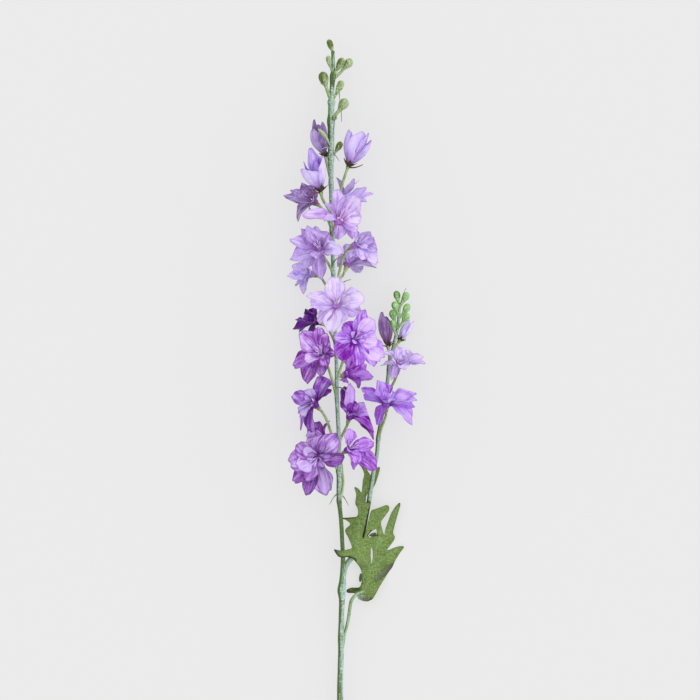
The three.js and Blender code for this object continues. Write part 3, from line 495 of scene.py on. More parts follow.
@dataclass(frozen=True)
class StemPlastic:
    """Soft polyethylene drawn over wire, tinted green and dusted with a pale flock.

    The eye sees a dull blue green, with painted light on its right side that turns it towards the
    dust's colour, and olive where the dust is gone: in streaks and wherever the tone is high, and as
    painted shade on its left side. The dark wire shows in its deepest pits, and under the leaf, where
    the tone is above 1, the same dark colour is painted shade.
    """

    name: str
    body: str
    # streak: olive where the dust is gone, also the painted shade on the left side
    streak: str
    # dust: colour of the dust, also the painted light on the right side
    dust: str
    dusting: float  # share of the surface that is dusted
    grain: float = 0.9  # width of a dust grain in millimetres
    left_shade: float = 0.5  # strength of the painted shade on the left side
    # colour of the deepest pits, also of the painted shade under the leaf
    speck_and_shade: str = "#1C1A10"

    DRAWN = (1, 0.16, 1)  # bare streaks are drawn out along the stem
    STREAK = 2.0  # width of a bare streak in millimetres
    PATCH = 14.0  # size of a patch of thicker or thinner dust in millimetres

    @cache
    def make(self) -> bpy.types.Material:
        """Builds the material."""
        material, tree, shader = blank("dusted plastic, " + self.name)
        place = add(tree, "TexCoord").node.outputs
        wear_and_shade = add(tree, "Attribute", out="Fac", attribute_name="tone")
        drawn = add(tree, "Mapping", {"Vector": place["Object"], "Scale": self.DRAWN})
        bare, shade, dust = (
            add(tree, "TexNoise", {"Vector": where, "Scale": per_mm(size), "Detail": detail})
            for where, size, detail in (
                (drawn, self.STREAK, 3),
                (place["Object"], self.PATCH, 2),
                (place["Object"], self.grain, 2.5),
            )
        )
        facing = add(tree, "SeparateXYZ", {0: place["Normal"]}, out="X")
        # Painted light: the right side turns towards the dust's colour.
        right = add(tree, "MapRange", {0: facing, 1: -0.2, 2: 0.9, 3: 0, 4: 0.6})
        # Bare is where noise and tone together pass a limit; painted shade on the left side adds to it.
        left = add(tree, "MapRange", {0: facing, 1: -0.2, 2: -0.9, 3: 0, 4: self.left_shade})
        bare_and_shaded = add(tree, "Math", {0: bare, 1: 1.7, 2: wear_and_shade}, operation="MULTIPLY_ADD")
        bare_and_shaded = add(tree, "Math", {0: bare_and_shaded, 1: left}, operation="ADD")
        bare_and_shaded_lanes = add(tree, "MapRange", {0: bare_and_shaded, 1: 1.25, 2: 1.6})
        # Grains of dust, fewer where it is bare.
        limit = 0.66 - 0.3 * self.dusting
        cover = add(tree, "MapRange", {0: dust, 1: limit, 2: limit + 0.09})
        patchy = add(tree, "MapRange", {0: shade, 1: 0.35, 2: 0.6, 3: 0.4, 4: 1})
        cover = add(tree, "Math", {0: cover, 1: patchy}, operation="MULTIPLY")
        left_over = add(tree, "MapRange", {0: bare_and_shaded_lanes, 1: 0, 2: 1, 3: 1, 4: 0.15})
        cover = add(tree, "Math", {0: cover, 1: left_over}, operation="MULTIPLY")
        # Pits where its lowest grains are, down to the dark wire in the deepest.
        pits = add(tree, "MapRange", {0: dust, 1: 0.4, 2: 0.33, 3: 0, 4: 0.75})
        holes = add(tree, "MapRange", {0: dust, 1: 0.32, 2: 0.27, 3: 0, 4: 0.7})
        # Painted shade under the leaf, where the tone is above 1, in the dark colour of the deepest pits.
        wire = add(tree, "MapRange", {0: wear_and_shade, 1: 1.1, 2: 1.5})
        wire = add(tree, "Math", {0: wire, 1: holes}, operation="MAXIMUM")
        face = colour(self.body)
        for share, dye in (
            (right, self.dust),
            (bare_and_shaded_lanes, self.streak),
            (cover, self.dust),
            (pits, self.streak),
            (wire, self.speck_and_shade),
        ):
            face = add(tree, "Mix", {0: share, 6: face, 7: colour(dye)}, out=2, data_type="RGBA")
        height = add(tree, "Math", {0: bare, 1: 0.7, 2: dust}, operation="MULTIPLY_ADD")
        normal = add(tree, "Bump", {"Strength": 0.7, "Distance": 0.7 * MM, "Height": height})
        inputs = {"Base Color": face, "Normal": normal, "Roughness": 0.62, "Specular IOR Level": 0.3}
        feed(tree, shader, inputs)
        return material


@dataclass(frozen=True)
class LeafCloth:
    """Printed polyester leaf cloth: a fine weave that shows as light grains on dull green.

    Threads of 0.3 mm are drawn at 0.8 mm so that they show. A tone above a half is a rib, one
    below it is shaded, and one about nothing is dark brown, for brown marks and for painted shadows.
    """

    name: str = "leaf"
    body: str = "#6C8341"
    shade: str = "#526B33"
    grain: str = "#8FA669"
    vein: str = "#86A068"
    # colour of its brown marks and of its painted shadows
    stain_and_shadow: str = "#2E2C1A"

    CLOUD = 12.0  # size of a darker cloud in millimetres
    GRAIN = 1.3  # size of a light grain
    THREAD = 0.8  # drawn width of a thread
    WAVE = 3.3 / 20  # width of a thread in a wave texture of scale 1

    @cache
    def make(self) -> bpy.types.Material:
        """Builds the material."""
        material, tree, shader = blank("printed leaf cloth, " + self.name)
        place = add(tree, "TexCoord", out="Object")
        tone = add(tree, "Attribute", out="Fac", attribute_name="tone")
        cloud, grain = (
            add(tree, "TexNoise", {"Vector": place, "Scale": per_mm(size), "Detail": 3})
            for size in (self.CLOUD, self.GRAIN)
        )
        weave = {"Vector": place, "Scale": per_mm(self.THREAD) * self.WAVE, "Distortion": 5, "Detail": 2}
        warp, weft = (add(tree, "TexWave", weave, out="Fac", bands_direction=way) for way in "XY")
        threads = add(tree, "Math", {0: warp, 1: weft}, operation="MULTIPLY")
        clouds = add(tree, "MapRange", {0: cloud, 1: 0.35, 2: 0.65, 3: 0, 4: 0.55})
        speckle = add(tree, "Math", {0: threads, 1: 0.28, 2: 0.72}, operation="MULTIPLY_ADD")
        speckle = add(tree, "Math", {0: speckle, 1: grain}, operation="MULTIPLY")
        speckle = add(tree, "MapRange", {0: speckle, 1: 0.36, 2: 0.5, 3: 0, 4: 0.6})
        ribs = add(tree, "MapRange", {0: tone, 1: 0.5, 2: 1.0, 3: 0, 4: 0.8})
        # Shade: along the rim and the folds, and as pepper between the light grains.
        pepper = add(tree, "MapRange", {0: grain, 1: 0.48, 2: 0.34, 3: 0, 4: 0.6})
        shaded = add(tree, "MapRange", {0: tone, 1: 0.1, 2: 0.45, 3: 0.8, 4: 0})
        shaded = add(tree, "Math", {0: shaded, 1: pepper}, operation="MAXIMUM")
        # Dark brown about a tone of nothing: brown marks, and painted shadows.
        stains_and_shadows = add(tree, "MapRange", {0: tone, 1: 0.2, 2: -0.2, 3: 0, 4: 0.9})
        face = colour(self.body)
        for share, dye in (
            (clouds, self.shade),
            (speckle, self.grain),
            (ribs, self.vein),
            (shaded, self.shade),
            (stains_and_shadows, self.stain_and_shadow),
        ):
            face = add(tree, "Mix", {0: share, 6: face, 7: colour(dye)}, out=2, data_type="RGBA")
        normal = add(tree, "Bump", {"Strength": 0.25, "Distance": 0.3 * MM, "Height": threads})
        inputs = {
            "Base Color": face,
            "Normal": normal,
            "Roughness": 0.75,
            "Specular IOR Level": 0.2,
            "Sheen Weight": 0.1,
        }
        feed(tree, shader, inputs)
        return material


@dataclass(frozen=True)
class MouldedPlastic:
    """Moulded polyethylene of the small yellow, brown and mauve parts, shaded along its length."""

    name: str
    foot: str
    tip: str
    reach: float  # length over which the foot's colour turns into the tip's, in millimetres
    mottle: str

    SPOT = 1.2  # size of a spot in millimetres

    @cache
    def make(self) -> bpy.types.Material:
        """Builds the material."""
        material, tree, shader = blank("moulded plastic, " + self.name)
        place = add(tree, "TexCoord").node.outputs
        along = add(tree, "SeparateXYZ", {0: place["UV"]}, out="Y")
        grain = {"Vector": place["Object"], "Scale": per_mm(self.SPOT), "Detail": 3}
        rough = add(tree, "TexNoise", grain)
        turned = add(tree, "MapRange", {0: along, 1: 0, 2: self.reach})
        spots = add(tree, "MapRange", {0: rough, 1: 0.5, 2: 0.68, 3: 0, 4: 0.6})
        face = colour(self.foot)
        for share, dye in ((turned, self.tip), (spots, self.mottle)):
            face = add(tree, "Mix", {0: share, 6: face, 7: colour(dye)}, out=2, data_type="RGBA")
        normal = add(tree, "Bump", {"Strength": 0.3, "Distance": 0.3 * MM, "Height": rough})
        feed(tree, shader, {"Base Color": face, "Normal": normal, "Roughness": 0.5})
        return material


CALYX_FINISH = MouldedPlastic("calyx", "#AE9440", "#CDBB6A", 5, "#8C7030")
SEPAL_FINISH = MouldedPlastic("dried sepals", "#2E1C16", "#5A3A2C", 8, "#7A5A44")
FILAMENT_FINISH = MouldedPlastic("stamens", "#A86CBC", "#E2D2EC", 4, "#D4BEE0")
BUD_SILK = PetalSilk("bud", "#C2AAEA", "#DCCDF4", "#A58BD8", "#8C63B8", "#9B7CC8", "#9A6CC0", 0.25, 0.3)


# What a petal keeps clear of --------------------------------------------------------------------


@dataclass(frozen=True)
class Rods:
    """Straight pieces of stem and stalk that petals pass beside.

    Attributes:
        start: one end of each, (n, 3).
        end: the other end.
        radius: its radius.
    """

    start: np.ndarray
    end: np.ndarray
    radius: np.ndarray

    @staticmethod
    def along(lines: Sequence[np.ndarray]) -> Rods:
        """The straight pieces of several lines of x, y, z and radius."""
        first = np.vstack([line[:-1] for line in lines])
        last = np.vstack([line[1:] for line in lines])
        return Rods(first[:, :3], last[:, :3], np.maximum(first[:, 3], last[:, 3]))

    def planes(self, place: np.ndarray) -> Planes:
        """The planes that part a point from each rod, on the point's side of it.

        The normal runs from the rod's nearest point to the place, and the plane stands the rod's
        radius and a gap away from the rod.
        """
        run = self.end - self.start
        share = np.clip(((place - self.start) * run).sum(1) / (run * run).sum(1), 0, 1)
        nearest = self.start + run * share[:, None]
        far = np.linalg.norm(place - nearest, axis=1)
        normal = unit(place - nearest)
        starts = (normal * nearest).sum(1) + self.radius + GAP
        return normal[far < NEARBY], starts[far < NEARBY]


def bend(points: np.ndarray, normals: np.ndarray, starts: np.ndarray) -> np.ndarray:
    """Moves points to the allowed side of every plane, and over the table.

    A point short of a plane moves by what it lacks, more up and down than sideways. The planes
    are gone through again until all are kept.
    """
    p = points.reshape(-1, 3).copy()
    way = normals * GIVE
    way /= (way * normals).sum(1, keepdims=True)
    limit = starts + HALF_BLADE + SLACK
    for _ in range(SWEEPS):
        touched = np.flatnonzero((limit - p @ normals.T > 1e-6).any(0))
        for k in touched:
            p += np.maximum(limit[k] - p @ normals[k], 0)[:, None] * way[k]
        p[:, 2] = np.maximum(p[:, 2], HALF_BLADE)
        if not len(touched):
            break
    return p.reshape(points.shape)


def relaxed(grid: np.ndarray, rounds: int) -> np.ndarray:
    """A grid whose inner points are each drawn half-way to the mean of their four neighbours."""
    g = grid.copy()
    for _ in range(rounds):
        mean = (g[:-2, 1:-1] + g[2:, 1:-1] + g[1:-1, :-2] + g[1:-1, 2:]) / 4
        g[1:-1, 1:-1] += 0.5 * (mean - g[1:-1, 1:-1])
        for side in (0, -1):
            g[1:-1, side] += 0.5 * ((g[:-2, side] + g[2:, side]) / 2 - g[1:-1, side])
    return g


@dataclass(frozen=True)
class PetalCut:
    """How petals are cut and pressed.

    Attributes:
        claw: width of the root as a share of the full width.
        widest: share of the length where the petal is widest.
        pinch: how much narrower it is again at its end.
        droop: how much shorter it is at its edges than along its middle.
        arch: power of that; a low one makes a pointed end, a high one a round one.
        cup: how far the edges lift, as a share of the width.
        tilt: how far one edge stands over the other.
        ruffle: height of the waves along the edge, as a share of the width.
        pleat: height of the pressed folds, as a share of the width.
        curl: how far the tip rolls back, as a share of the width.
        jag: unevenness of the outline.
        twist: turn of the tip about the petal's line, in radians.
    """

    claw: float = 0.2
    widest: float = 0.62
    pinch: float = 0.3
    droop: float = 0.24
    arch: float = 2.2
    cup: float = 0.18
    tilt: float = 0.2
    ruffle: float = 0.05
    pleat: float = 0.022
    curl: float = 0.14
    jag: float = 0.045
    twist: float = 0.3

    ROWS = 30
    COLUMNS = 23
    THICK = (0.4, 0.2)  # thickness at the middle line and at the edge
    FOLDS = (1.5, 3.4)  # broad and fine folds to half a width
    MEAN_FOLD = 0.6  # taken off a fold's height, so that it goes to both sides
    RIPPLES = 9  # waves of the cut edge: radians across half a width, half waves along the side
    RUFFLES = 5.2  # half waves of the ruffle along the side
    CURL_FROM = 0.7  # share of the length from which the tip rolls back
    SHADE_TO = 0.4  # share of the length over which the root's shade fades
    EASING = 3  # rounds in which a bent petal's kinks are smoothed

    def petal(
        self,
        curve: Curve,
        side: np.ndarray,
        width: float,
        planes: Planes,
        tone: float,
        chance: np.random.Generator,
    ) -> Patch:
        """One petal.

        A column v, from -1 to 1 across, ends at 1 - droop |v|^arch of the length, less a notch.
        A point at share u of the Bezier curve from root over bow to tip stands v * half out along
        the side, which turns with u, and (2 cup (1 + 0.9 (1 - u)^2) v^2 + tilt v) * half in, with
        ruffles that grow to the edge and the tip, and folds that run along the petal.

        Args:
            curve: root, bow and tip.
            side: the direction of its width.
            width: its full width.
            planes: what it keeps clear of.
            tone: how light it is.
            chance: where its small differences come from.

        Returns:
            The petal.
        """
        root, bow, tip = curve
        v = np.linspace(-1, 1, self.COLUMNS)[None, :]
        rows = np.linspace(0, 1, self.ROWS)[:, None]
        phase = chance.uniform(0, 2 * np.pi, 8)
        # Its end and its sides.
        ends = 1 - self.droop * np.abs(v) ** self.arch
        notch = self.jag * chance.uniform(-0.2, 1.1) * bump(v, chance.uniform(-0.35, 0.35), 0.2)
        ends = ends - notch + 0.25 * self.jag * np.sin(self.RIPPLES * v + phase[6])
        u = rows * ends
        broad = chance.uniform(2, 4) * np.pi * u + np.where(v < 0, phase[0], phase[1])
        fine = self.RIPPLES * np.pi * u + np.where(v < 0, phase[4], phase[5])
        uneven = 1 + self.jag * np.sin(broad) + 0.4 * self.jag * np.sin(fine)
        end = np.maximum(0, (u - self.widest) / (1 - self.widest))
        limb = self.claw + (1 - self.claw) * smooth(u / self.widest)
        half = width / 2 * limb * (1 - self.pinch * end**2)
        # Its relief: cup and tilt, ruffles, folds and the rolled tip.
        lift = (2 * self.cup * (1 + 0.9 * (1 - u) ** 2) * v**2 + self.tilt * v) * half
        wave = self.ruffle * width * smooth(u * 1.5) * np.abs(v) ** 1.7
        lift = lift + wave * np.sin(self.RUFFLES * np.pi * u + phase[2] + 1.7 * np.sign(v))
        broad, fine = (count * np.pi * v for count in self.FOLDS)
        fold = np.abs(np.sin(broad + phase[3])) - self.MEAN_FOLD
        fold = fold + 0.5 * (np.abs(np.sin(fine + phase[7] + 1.2 * u)) - self.MEAN_FOLD)
        lift = lift + self.pleat * width * fold * smooth(u * 3) * (1.1 - 0.6 * u)
        roll = chance.uniform(-0.5, 1) * self.curl * width
        lift = lift - roll * np.maximum(0, (u - self.CURL_FROM) / (1 - self.CURL_FROM)) ** 2
        # Its place: along the curve, out along the turning side and in by its relief.
        t = u[..., None]
        tangent = (1 - t) * (bow - root) + t * (tip - bow)
        inward = unit(np.cross(tangent, side))
        turn = chance.uniform(-1, 1) * self.twist * u
        out = half * v * uneven
        across = (out * np.cos(turn))[..., None] * side + (out * np.sin(turn))[..., None] * inward
        grid = bend(bezier(curve, t) + across + lift[..., None] * inward, *planes)
        grid = bend(relaxed(grid, self.EASING), *planes)
        thick = self.THICK[0] + (self.THICK[1] - self.THICK[0]) * v**2 + 0 * rows
        # The tone with painted light and shade on it: paler on the ridges, along the middle and to one
        # side, darker in the folds, at the root and at the edge.
        dye = tone + 0.1 * fold * smooth(u * 3) + chance.uniform(-0.2, 0.2) * v
        dye = dye + 0.16 * bump(v, chance.uniform(-0.3, 0.3), 0.4) * smooth(u * 2)
        dye = dye - 0.34 * (1 - smooth(u / self.SHADE_TO)) - 0.08 * v**4
        made = shell(grid, rows[:, 0], thick, dye)
        made.lot = chance.uniform()
        return made


# Heads ------------------------------------------------------------------------------------------


@dataclass(frozen=True)
class Crowd:
    """All that a petal may have beside it.

    Attributes:
        heads: the blooms and buds of the spike.
        rods: its stems and stalks.
    """

    heads: Sequence[Head]
    rods: Rods


@dataclass
class Head:
    """A bloom or bud on its stalk.

    Attributes:
        name: name of its CAD node.
        calyx: where the stalk ends, x, y, z.
        crown: the throat of a bloom, or the tip of a bud.
        node: the y at which its stalk leaves the stem.
        branch: whether that stem is the side branch.
        layer: a head of a higher layer laps over its neighbours, in millimetres of lean.
        aside: how far its stalk bows to the right, in millimetres.
    """

    name: str
    calyx: Row
    crown: Row
    node: float
    branch: bool = False
    layer: float = 0.0
    aside: float = 0.0

    HEART = 0.5  # where the middle of the head lies on its axis
    STALK = 1.15  # radius of its stalk
    CALYX = 1.9  # radius of the stalk's end
    NECK = 3.2  # straight end of the stalk
    LEAVE = (0.35, 0.1)  # how far a stalk heads for its neck and up the stem where it leaves it
    ENTER = 0.25  # how far before the neck it turns into the head's axis

    def __post_init__(self) -> None:
        """Works out the axis, the heart and the stalk."""
        self.foot = np.array(self.calyx, dtype=float)
        self.top = np.array(self.crown, dtype=float)
        self.run = float(np.linalg.norm(self.top - self.foot))
        self.axis = (self.top - self.foot) / self.run
        self.heart = self.foot + (self.top - self.foot) * self.HEART

    def stalk(self, rows: int) -> np.ndarray:
        """The stalk's centre line and radius.

        The cubic Bezier curve leaves the stem upwards along it and enters the neck along the
        head's axis; one more row is the end under the calyx.
        """
        start = row_at(Spike.BRANCH if self.branch else Spike.STEM, self.node)[:3]
        end = self.foot - self.axis * GAP
        neck = end - self.axis * self.NECK
        run = np.linalg.norm(neck - start)
        rise = start + self.LEAVE[0] * (neck - start) + [self.aside, self.LEAVE[1] * run, 0]
        turn = neck - self.axis * run * self.ENTER
        t = np.linspace(0, 1, rows)[:, None]
        line = (
            (1 - t) ** 3 * start
            + 3 * t * (1 - t) ** 2 * rise
            + 3 * t**2 * (1 - t) * turn
            + t**3 * neck
        )
        return np.vstack([np.hstack([line, np.full((rows, 1), self.STALK)]), [*end, self.CALYX]])

    def planes(self, crowd: Crowd, place: np.ndarray) -> Planes:
        """The planes that a petal near a place keeps to: half-way to each other head, beside rods."""
        others = [head for head in crowd.heads if head is not self]
        hearts = np.array([head.heart for head in others])
        lean = np.array([self.layer - head.layer for head in others])
        normal = unit(self.heart - hearts + lean[:, None] * UP)
        start = (normal * (self.heart + hearts) / 2).sum(1) + GAP / 2
        beside, starts = crowd.rods.planes(place)
        return np.vstack([normal, beside]), np.concatenate([start, starts])

    def square(self) -> tuple[np.ndarray, np.ndarray]:
        """Two directions square to the axis and to each other, the first of them level."""
        first = unit(np.cross(UP, self.axis))
        return first, np.cross(self.axis, first)

    def out(self, turn: float) -> np.ndarray:
        """The direction out of the axis at so many radians round it."""
        first, second = self.square()
        return math.cos(turn) * first + math.sin(turn) * second


@dataclass
class Bloom(Head):
    """An open bloom.

    Attributes:
        petals: for each petal its direction in degrees seen from above, the reach of its tip from
            the throat, the rise of the tip over the throat, its width, how light it is, and how
            much narrower it is at its end where that is not as the cut says.
        silk: the finish of its petals.
        cut: how its petals are cut.
        ring: number of small petals round the throat.
    """

    petals: Sequence[Row] = ()
    ring: int = 0
    silk: PetalSilk = BUD_SILK
    cut: PetalCut = PetalCut()

    ROOT = 2.7  # radius at which petals are rooted
    ROOT_LOW = 0.32  # where the outermost petals are rooted, as a share of the axis
    ROOT_STEP = 0.4  # how much further up the innermost ones are
    BOW = (3, 0.3)  # an inner petal's bow over the throat; any bow's reach as a share of the petal
    FULLNESS = 1.3  # how much wider petals are cut than their rows say, as their folds take it up
    MOTTLE = 0.22  # how far a petal's tone may be off its row's
    STACK = (-1.2, 1.2, 0.0)  # how far petals next to each other stand apart along the axis
    RING_REACH = 7.5  # mean reach of the small petals round the throat
    RING_ROOT = (-4, 1.8)  # their root: along the axis from the throat, and out from it
    RING_BOW = (1.5, 3)  # their bow likewise
    RING_WIDTH = 0.85  # their width as a share of their reach
    TUFT = (2.0, 9.0)  # radius and length of the sheaf of stamens
    FACING = 0.65  # a bloom shows its tuft when its axis rises by more than this
    STAMENS = 6
    FILAMENT = (0.3, 0.26, 0.24, 0.22, 0.22, 0.42, 0.2)  # radius from root to anther
    FILAMENT_ROOT = 3.4  # depth of its root under the throat
    # Profiles of the funnel and of the calyx: share of the way to the throat, radius, lobing.
    FUNNEL = (
        (0.14, 2, 0.08), (0.26, 2.6, 0.08), (0.45, 2.85, 0.08), (0.6, 2.8, 0.08), (0.64, 2.4, 0.08),
        (0.6, 1.9, 0), (0.52, 1.2, 0), (0.46, 0.4, 0),
    )
    CONE = (
        (-0.08, 1.15, 0), (-0.02, 1.4, 0), (0.07, 1.7, 0.02), (0.17, 2.1, 0.05), (0.26, 2.5, 0.09),
        (0.28, 2.5, 0.1), (0.26, 1.8, 0),
    )

    def petal(self, row: Row, k: int, crowd: Crowd, chance: np.random.Generator) -> Patch:
        """A petal from its row of the table, the one with number k.

        A petal that leans forward along the axis is an inner one: it is rooted higher up and its
        bow stands further over the throat.
        """
        usual = (0.5, self.cut.pinch)  # the tone and the pinch of a row that names none
        direction, reach, rise, width, tone, pinch = (*row, *usual[len(row) - 4 :])
        a = math.radians(direction)
        shift = self.axis * self.STACK[k % 3]
        tip = self.top + [reach * math.cos(a), reach * math.sin(a), rise] + shift
        spread = tip - self.foot
        far = float(np.linalg.norm(spread))
        lean = float(spread @ self.axis) / far
        lateral = unit(spread - self.axis * (spread @ self.axis))
        inner = float(smooth((lean - 0.1) / 0.8))
        height = self.run * (self.ROOT_LOW + self.ROOT_STEP * inner)
        root = self.foot + self.axis * height + lateral * self.ROOT
        bow = self.top + self.axis * self.BOW[0] * inner + lateral * self.BOW[1] * far + shift
        mottled = tone + chance.uniform(-self.MOTTLE, self.MOTTLE)
        cut = replace(self.cut, pinch=pinch)
        return self.laid((root, bow, tip), lateral, width * self.FULLNESS, mottled, cut, crowd, chance)

    def ring_petal(self, k: int, crowd: Crowd, chance: np.random.Generator) -> Patch:
        """Petal k of the ring: it stands up from the throat, evenly spaced round the axis."""
        out = self.out(2 * np.pi * (k + chance.uniform(-0.3, 0.3)) / self.ring)
        reach = self.RING_REACH * chance.uniform(0.8, 1.2)
        root, bow = (
            self.top + self.axis * along + out * away for along, away in (self.RING_ROOT, self.RING_BOW)
        )
        tip = self.top + self.axis * chance.uniform(1, 4.5) + out * reach
        tone = chance.uniform(0.3, 0.75)
        return self.laid((root, bow, tip), out, reach * self.RING_WIDTH, tone, self.cut, crowd, chance)

    def laid(
        self,
        curve: Curve,
        out: np.ndarray,
        width: float,
        tone: float,
        cut: PetalCut,
        crowd: Crowd,
        chance: np.random.Generator,
    ) -> Patch:
        """A petal along a curve, kept clear of the other heads, the stalks and the stamens.

        Args:
            curve: root, bow and tip.
            out: which way it leans from the axis.
            width: its full width.
            tone: how light it is.
            cut: how it is cut.
            crowd: what may be beside it.
            chance: where its small differences come from.

        Returns:
            The petal.
        """
        root, _, tip = curve
        side = unit(np.cross(self.axis, out))
        normals, starts = self.planes(crowd, bezier(curve, SHOULDER))
        radius, length = self.TUFT
        tuft = Rods(self.top[None], self.top[None] + self.axis * length, np.array([radius]))
        beside, start = tuft.planes(root + (tip - root) * SHOULDER)
        planes = np.vstack([normals, beside]), np.concatenate([starts, start])
        return cut.petal(curve, side, width, planes, tone, chance)

    def turned(self, profile: Sequence[Row], sides: int, lobes: int, tone: float) -> Patch:
        """A piece turned about the axis.

        The radius is the profile's times 1 + lobing * cos(lobes * a) at the angle a.

        Args:
            profile: share of the way from the calyx to the throat, radius and lobing.
            sides: number of points round it.
            lobes: number of lobes or folds round it.
            tone: its tone.

        Returns:
            The piece.
        """
        share, radius, lobing = np.transpose(profile)
        rows = np.column_stack([self.foot + (self.top - self.foot) * share[:, None], radius])
        relief = lobing[:, None] * np.cos(lobes * round_about(sides))
        return tube(rows, sides, relief, tone, self.axis)

    def funnel(self) -> Patch:
        """The short cup that the petals' claws make inside, with pressed folds."""
        made = self.turned(self.FUNNEL, 24, 6, 0.35)
        made.uvs = [uv * [1, 0.03] for uv in made.uvs]
        return made

    def sheaf(self, chance: np.random.Generator) -> Patch:
        """The filaments: thin bars that lean out of the throat, each with a thicker anther."""
        s = np.linspace(0, 1, len(self.FILAMENT))
        made = []
        for k in range(self.STAMENS):
            out = self.out(2 * np.pi * (k + chance.uniform(-0.3, 0.3)) / self.STAMENS)
            length = self.TUFT[1] * chance.uniform(0.7, 0.98) + 3
            lean = (0.6 + 2.2 * s**1.5)[:, None] * out
            line = self.top - self.axis * self.FILAMENT_ROOT + self.axis * (s * length)[:, None] + lean
            made.append(tube(np.column_stack([line, self.FILAMENT]), 6, tone=1.0))
        return Patch.joined(made)

    def build(self, crowd: Crowd, seed: int) -> None:
        """Makes and dresses the petals, the calyx and the stamens."""
        chance = np.random.default_rng(seed)
        petals = [self.petal(row, k, crowd, chance) for k, row in enumerate(self.petals)]
        petals += [self.ring_petal(k, crowd, chance) for k in range(self.ring)]
        short = self.name.removeprefix("bloom_")
        Patch.joined([*petals, self.funnel()]).piece(
            "petals_" + short, self.silk.make(), self.silk.slot, self.name
        )
        cone = self.turned(self.CONE, 20, 5, 0.5)
        cone.piece("calyx_" + short, CALYX_FINISH.make(), Slot.STEM)
        if self.axis[2] > self.FACING:
            self.sheaf(chance).piece(
                "filaments_" + short, FILAMENT_FINISH.make(), Slot.STAMENS, "stamens_" + short
            )


@dataclass
class Bud(Head):
    """A closed or half-open purple bud: broad petals laid round an egg.

    Attributes:
        width: its full width.
        petals: for each petal its direction in degrees round the axis, 0 being the left and 90
            up, the share of the bud's length where its tip is, how far out the tip and the bow
            stand, its width, and how light it is.
        hooks: for each sepal that stands out, how far it reaches to the right and along the axis.
    """

    width: float = 15
    petals: Sequence[Row] = ()
    silk: PetalSilk = BUD_SILK
    hooks: Sequence[Row] = ((-4.5, 1.5), (4, 2.5))
    cut: PetalCut = PetalCut(
        0.3, 0.56, 0.26, 0.24, 2.3, 0.3, 0.3, ruffle=0.015, pleat=0.01, curl=0.03, jag=0.03, twist=0.1
    )

    HEART = 0.45
    ROOT = (0.06, 1.2)  # where petals are rooted: share of the bud's length, distance from the axis
    BOW = (0.45, 1.6)  # their bow: share of the way to the tip, and how much its row's number grows
    EGG = (0.2, 0.8)  # radius of the egg as a share of the width, and its length as one of the bud's
    SEPALS = 5
    SEPAL = PetalCut(0.6, 0.3, 0.85, 0.3, 1.4, 0.2, 0.1, 0.03, 0.02, 0.1, 0.1, 0.2)
    HOOK = 0.75  # radius of a hook at its foot

    def at(self, share: float, out: np.ndarray, away: float) -> np.ndarray:
        """A point that share of the bud's length up its axis, and so far away from it."""
        return self.foot + self.axis * self.run * share + out * away

    def petal(self, row: Row, crowd: Crowd, chance: np.random.Generator) -> Patch:
        """A petal from its row: a curve that bows out from the axis and comes in again."""
        turn, along, tip_out, bow_out, width, tone = row
        out = self.out(math.radians(turn))
        root = self.at(self.ROOT[0], out, self.ROOT[1])
        bow = self.at(self.BOW[0] * along, out, self.BOW[1] * bow_out)
        curve = (root, bow, self.at(along, out, tip_out))
        side = unit(np.cross(self.axis, out))
        planes = self.planes(crowd, bezier(curve, SHOULDER))
        return self.cut.petal(curve, side, width, planes, tone, chance)

    def egg(self) -> Patch:
        """The closed inner petals: an egg of radius sin(pi t^0.9)^0.75 with three folds round it."""
        t = np.linspace(0.02, 0.985, 18)
        thick, long = self.EGG
        radius = self.width * thick * np.sin(np.pi * t**0.9) ** 0.75
        rows = np.column_stack([self.foot + self.axis * (self.run * long * t)[:, None], radius])
        return tube(rows, 24, 0.08 * np.cos(3 * round_about(24) + 3 * t[:, None]), tone=0.35)

    def sepals(self, chance: np.random.Generator) -> Patch:
        """Dried sepals that hug the foot of the bud, and one or two that stand out as hooks."""
        made = []
        for k in range(self.SEPALS):
            out = self.out(2 * np.pi * (k + chance.uniform(0.2, 0.5)) / self.SEPALS)
            tip = self.at(chance.uniform(0.1, 0.22), out, 1 + 0.27 * self.width)
            curve = (self.at(0, out, 0.9), self.at(0.04, out, 0.8 + 0.16 * self.width), tip)
            side = unit(np.cross(self.axis, out))
            made.append(self.SEPAL.petal(curve, side, 0.2 * self.width, FREE, 0.5, chance))
        level, over = self.square()
        start = self.foot - self.axis * 0.6 + over * 0.8
        s = np.linspace(0, 1, 14)[:, None]
        for right, along in self.hooks:
            line = start - level * right * s + self.axis * along * s * s + over * 0.14 * self.width * s
            made.append(tube(np.column_stack([line, self.HOOK * (1 - 0.6 * s[:, 0])]), 8))
        return Patch.joined(made)

    def build(self, crowd: Crowd, seed: int) -> None:
        """Makes and dresses the petals and the sepals."""
        chance = np.random.default_rng(seed)
        petals = [self.petal(row, crowd, chance) for row in self.petals]
        Patch.joined([*petals, self.egg()]).piece(
            "petals_" + self.name, self.silk.make(), self.silk.slot, self.name
        )
        self.sepals(chance).piece("sepals_" + self.name, SEPAL_FINISH.make(), Slot.STEM)


# Stem -------------------------------------------------------------------------------------------


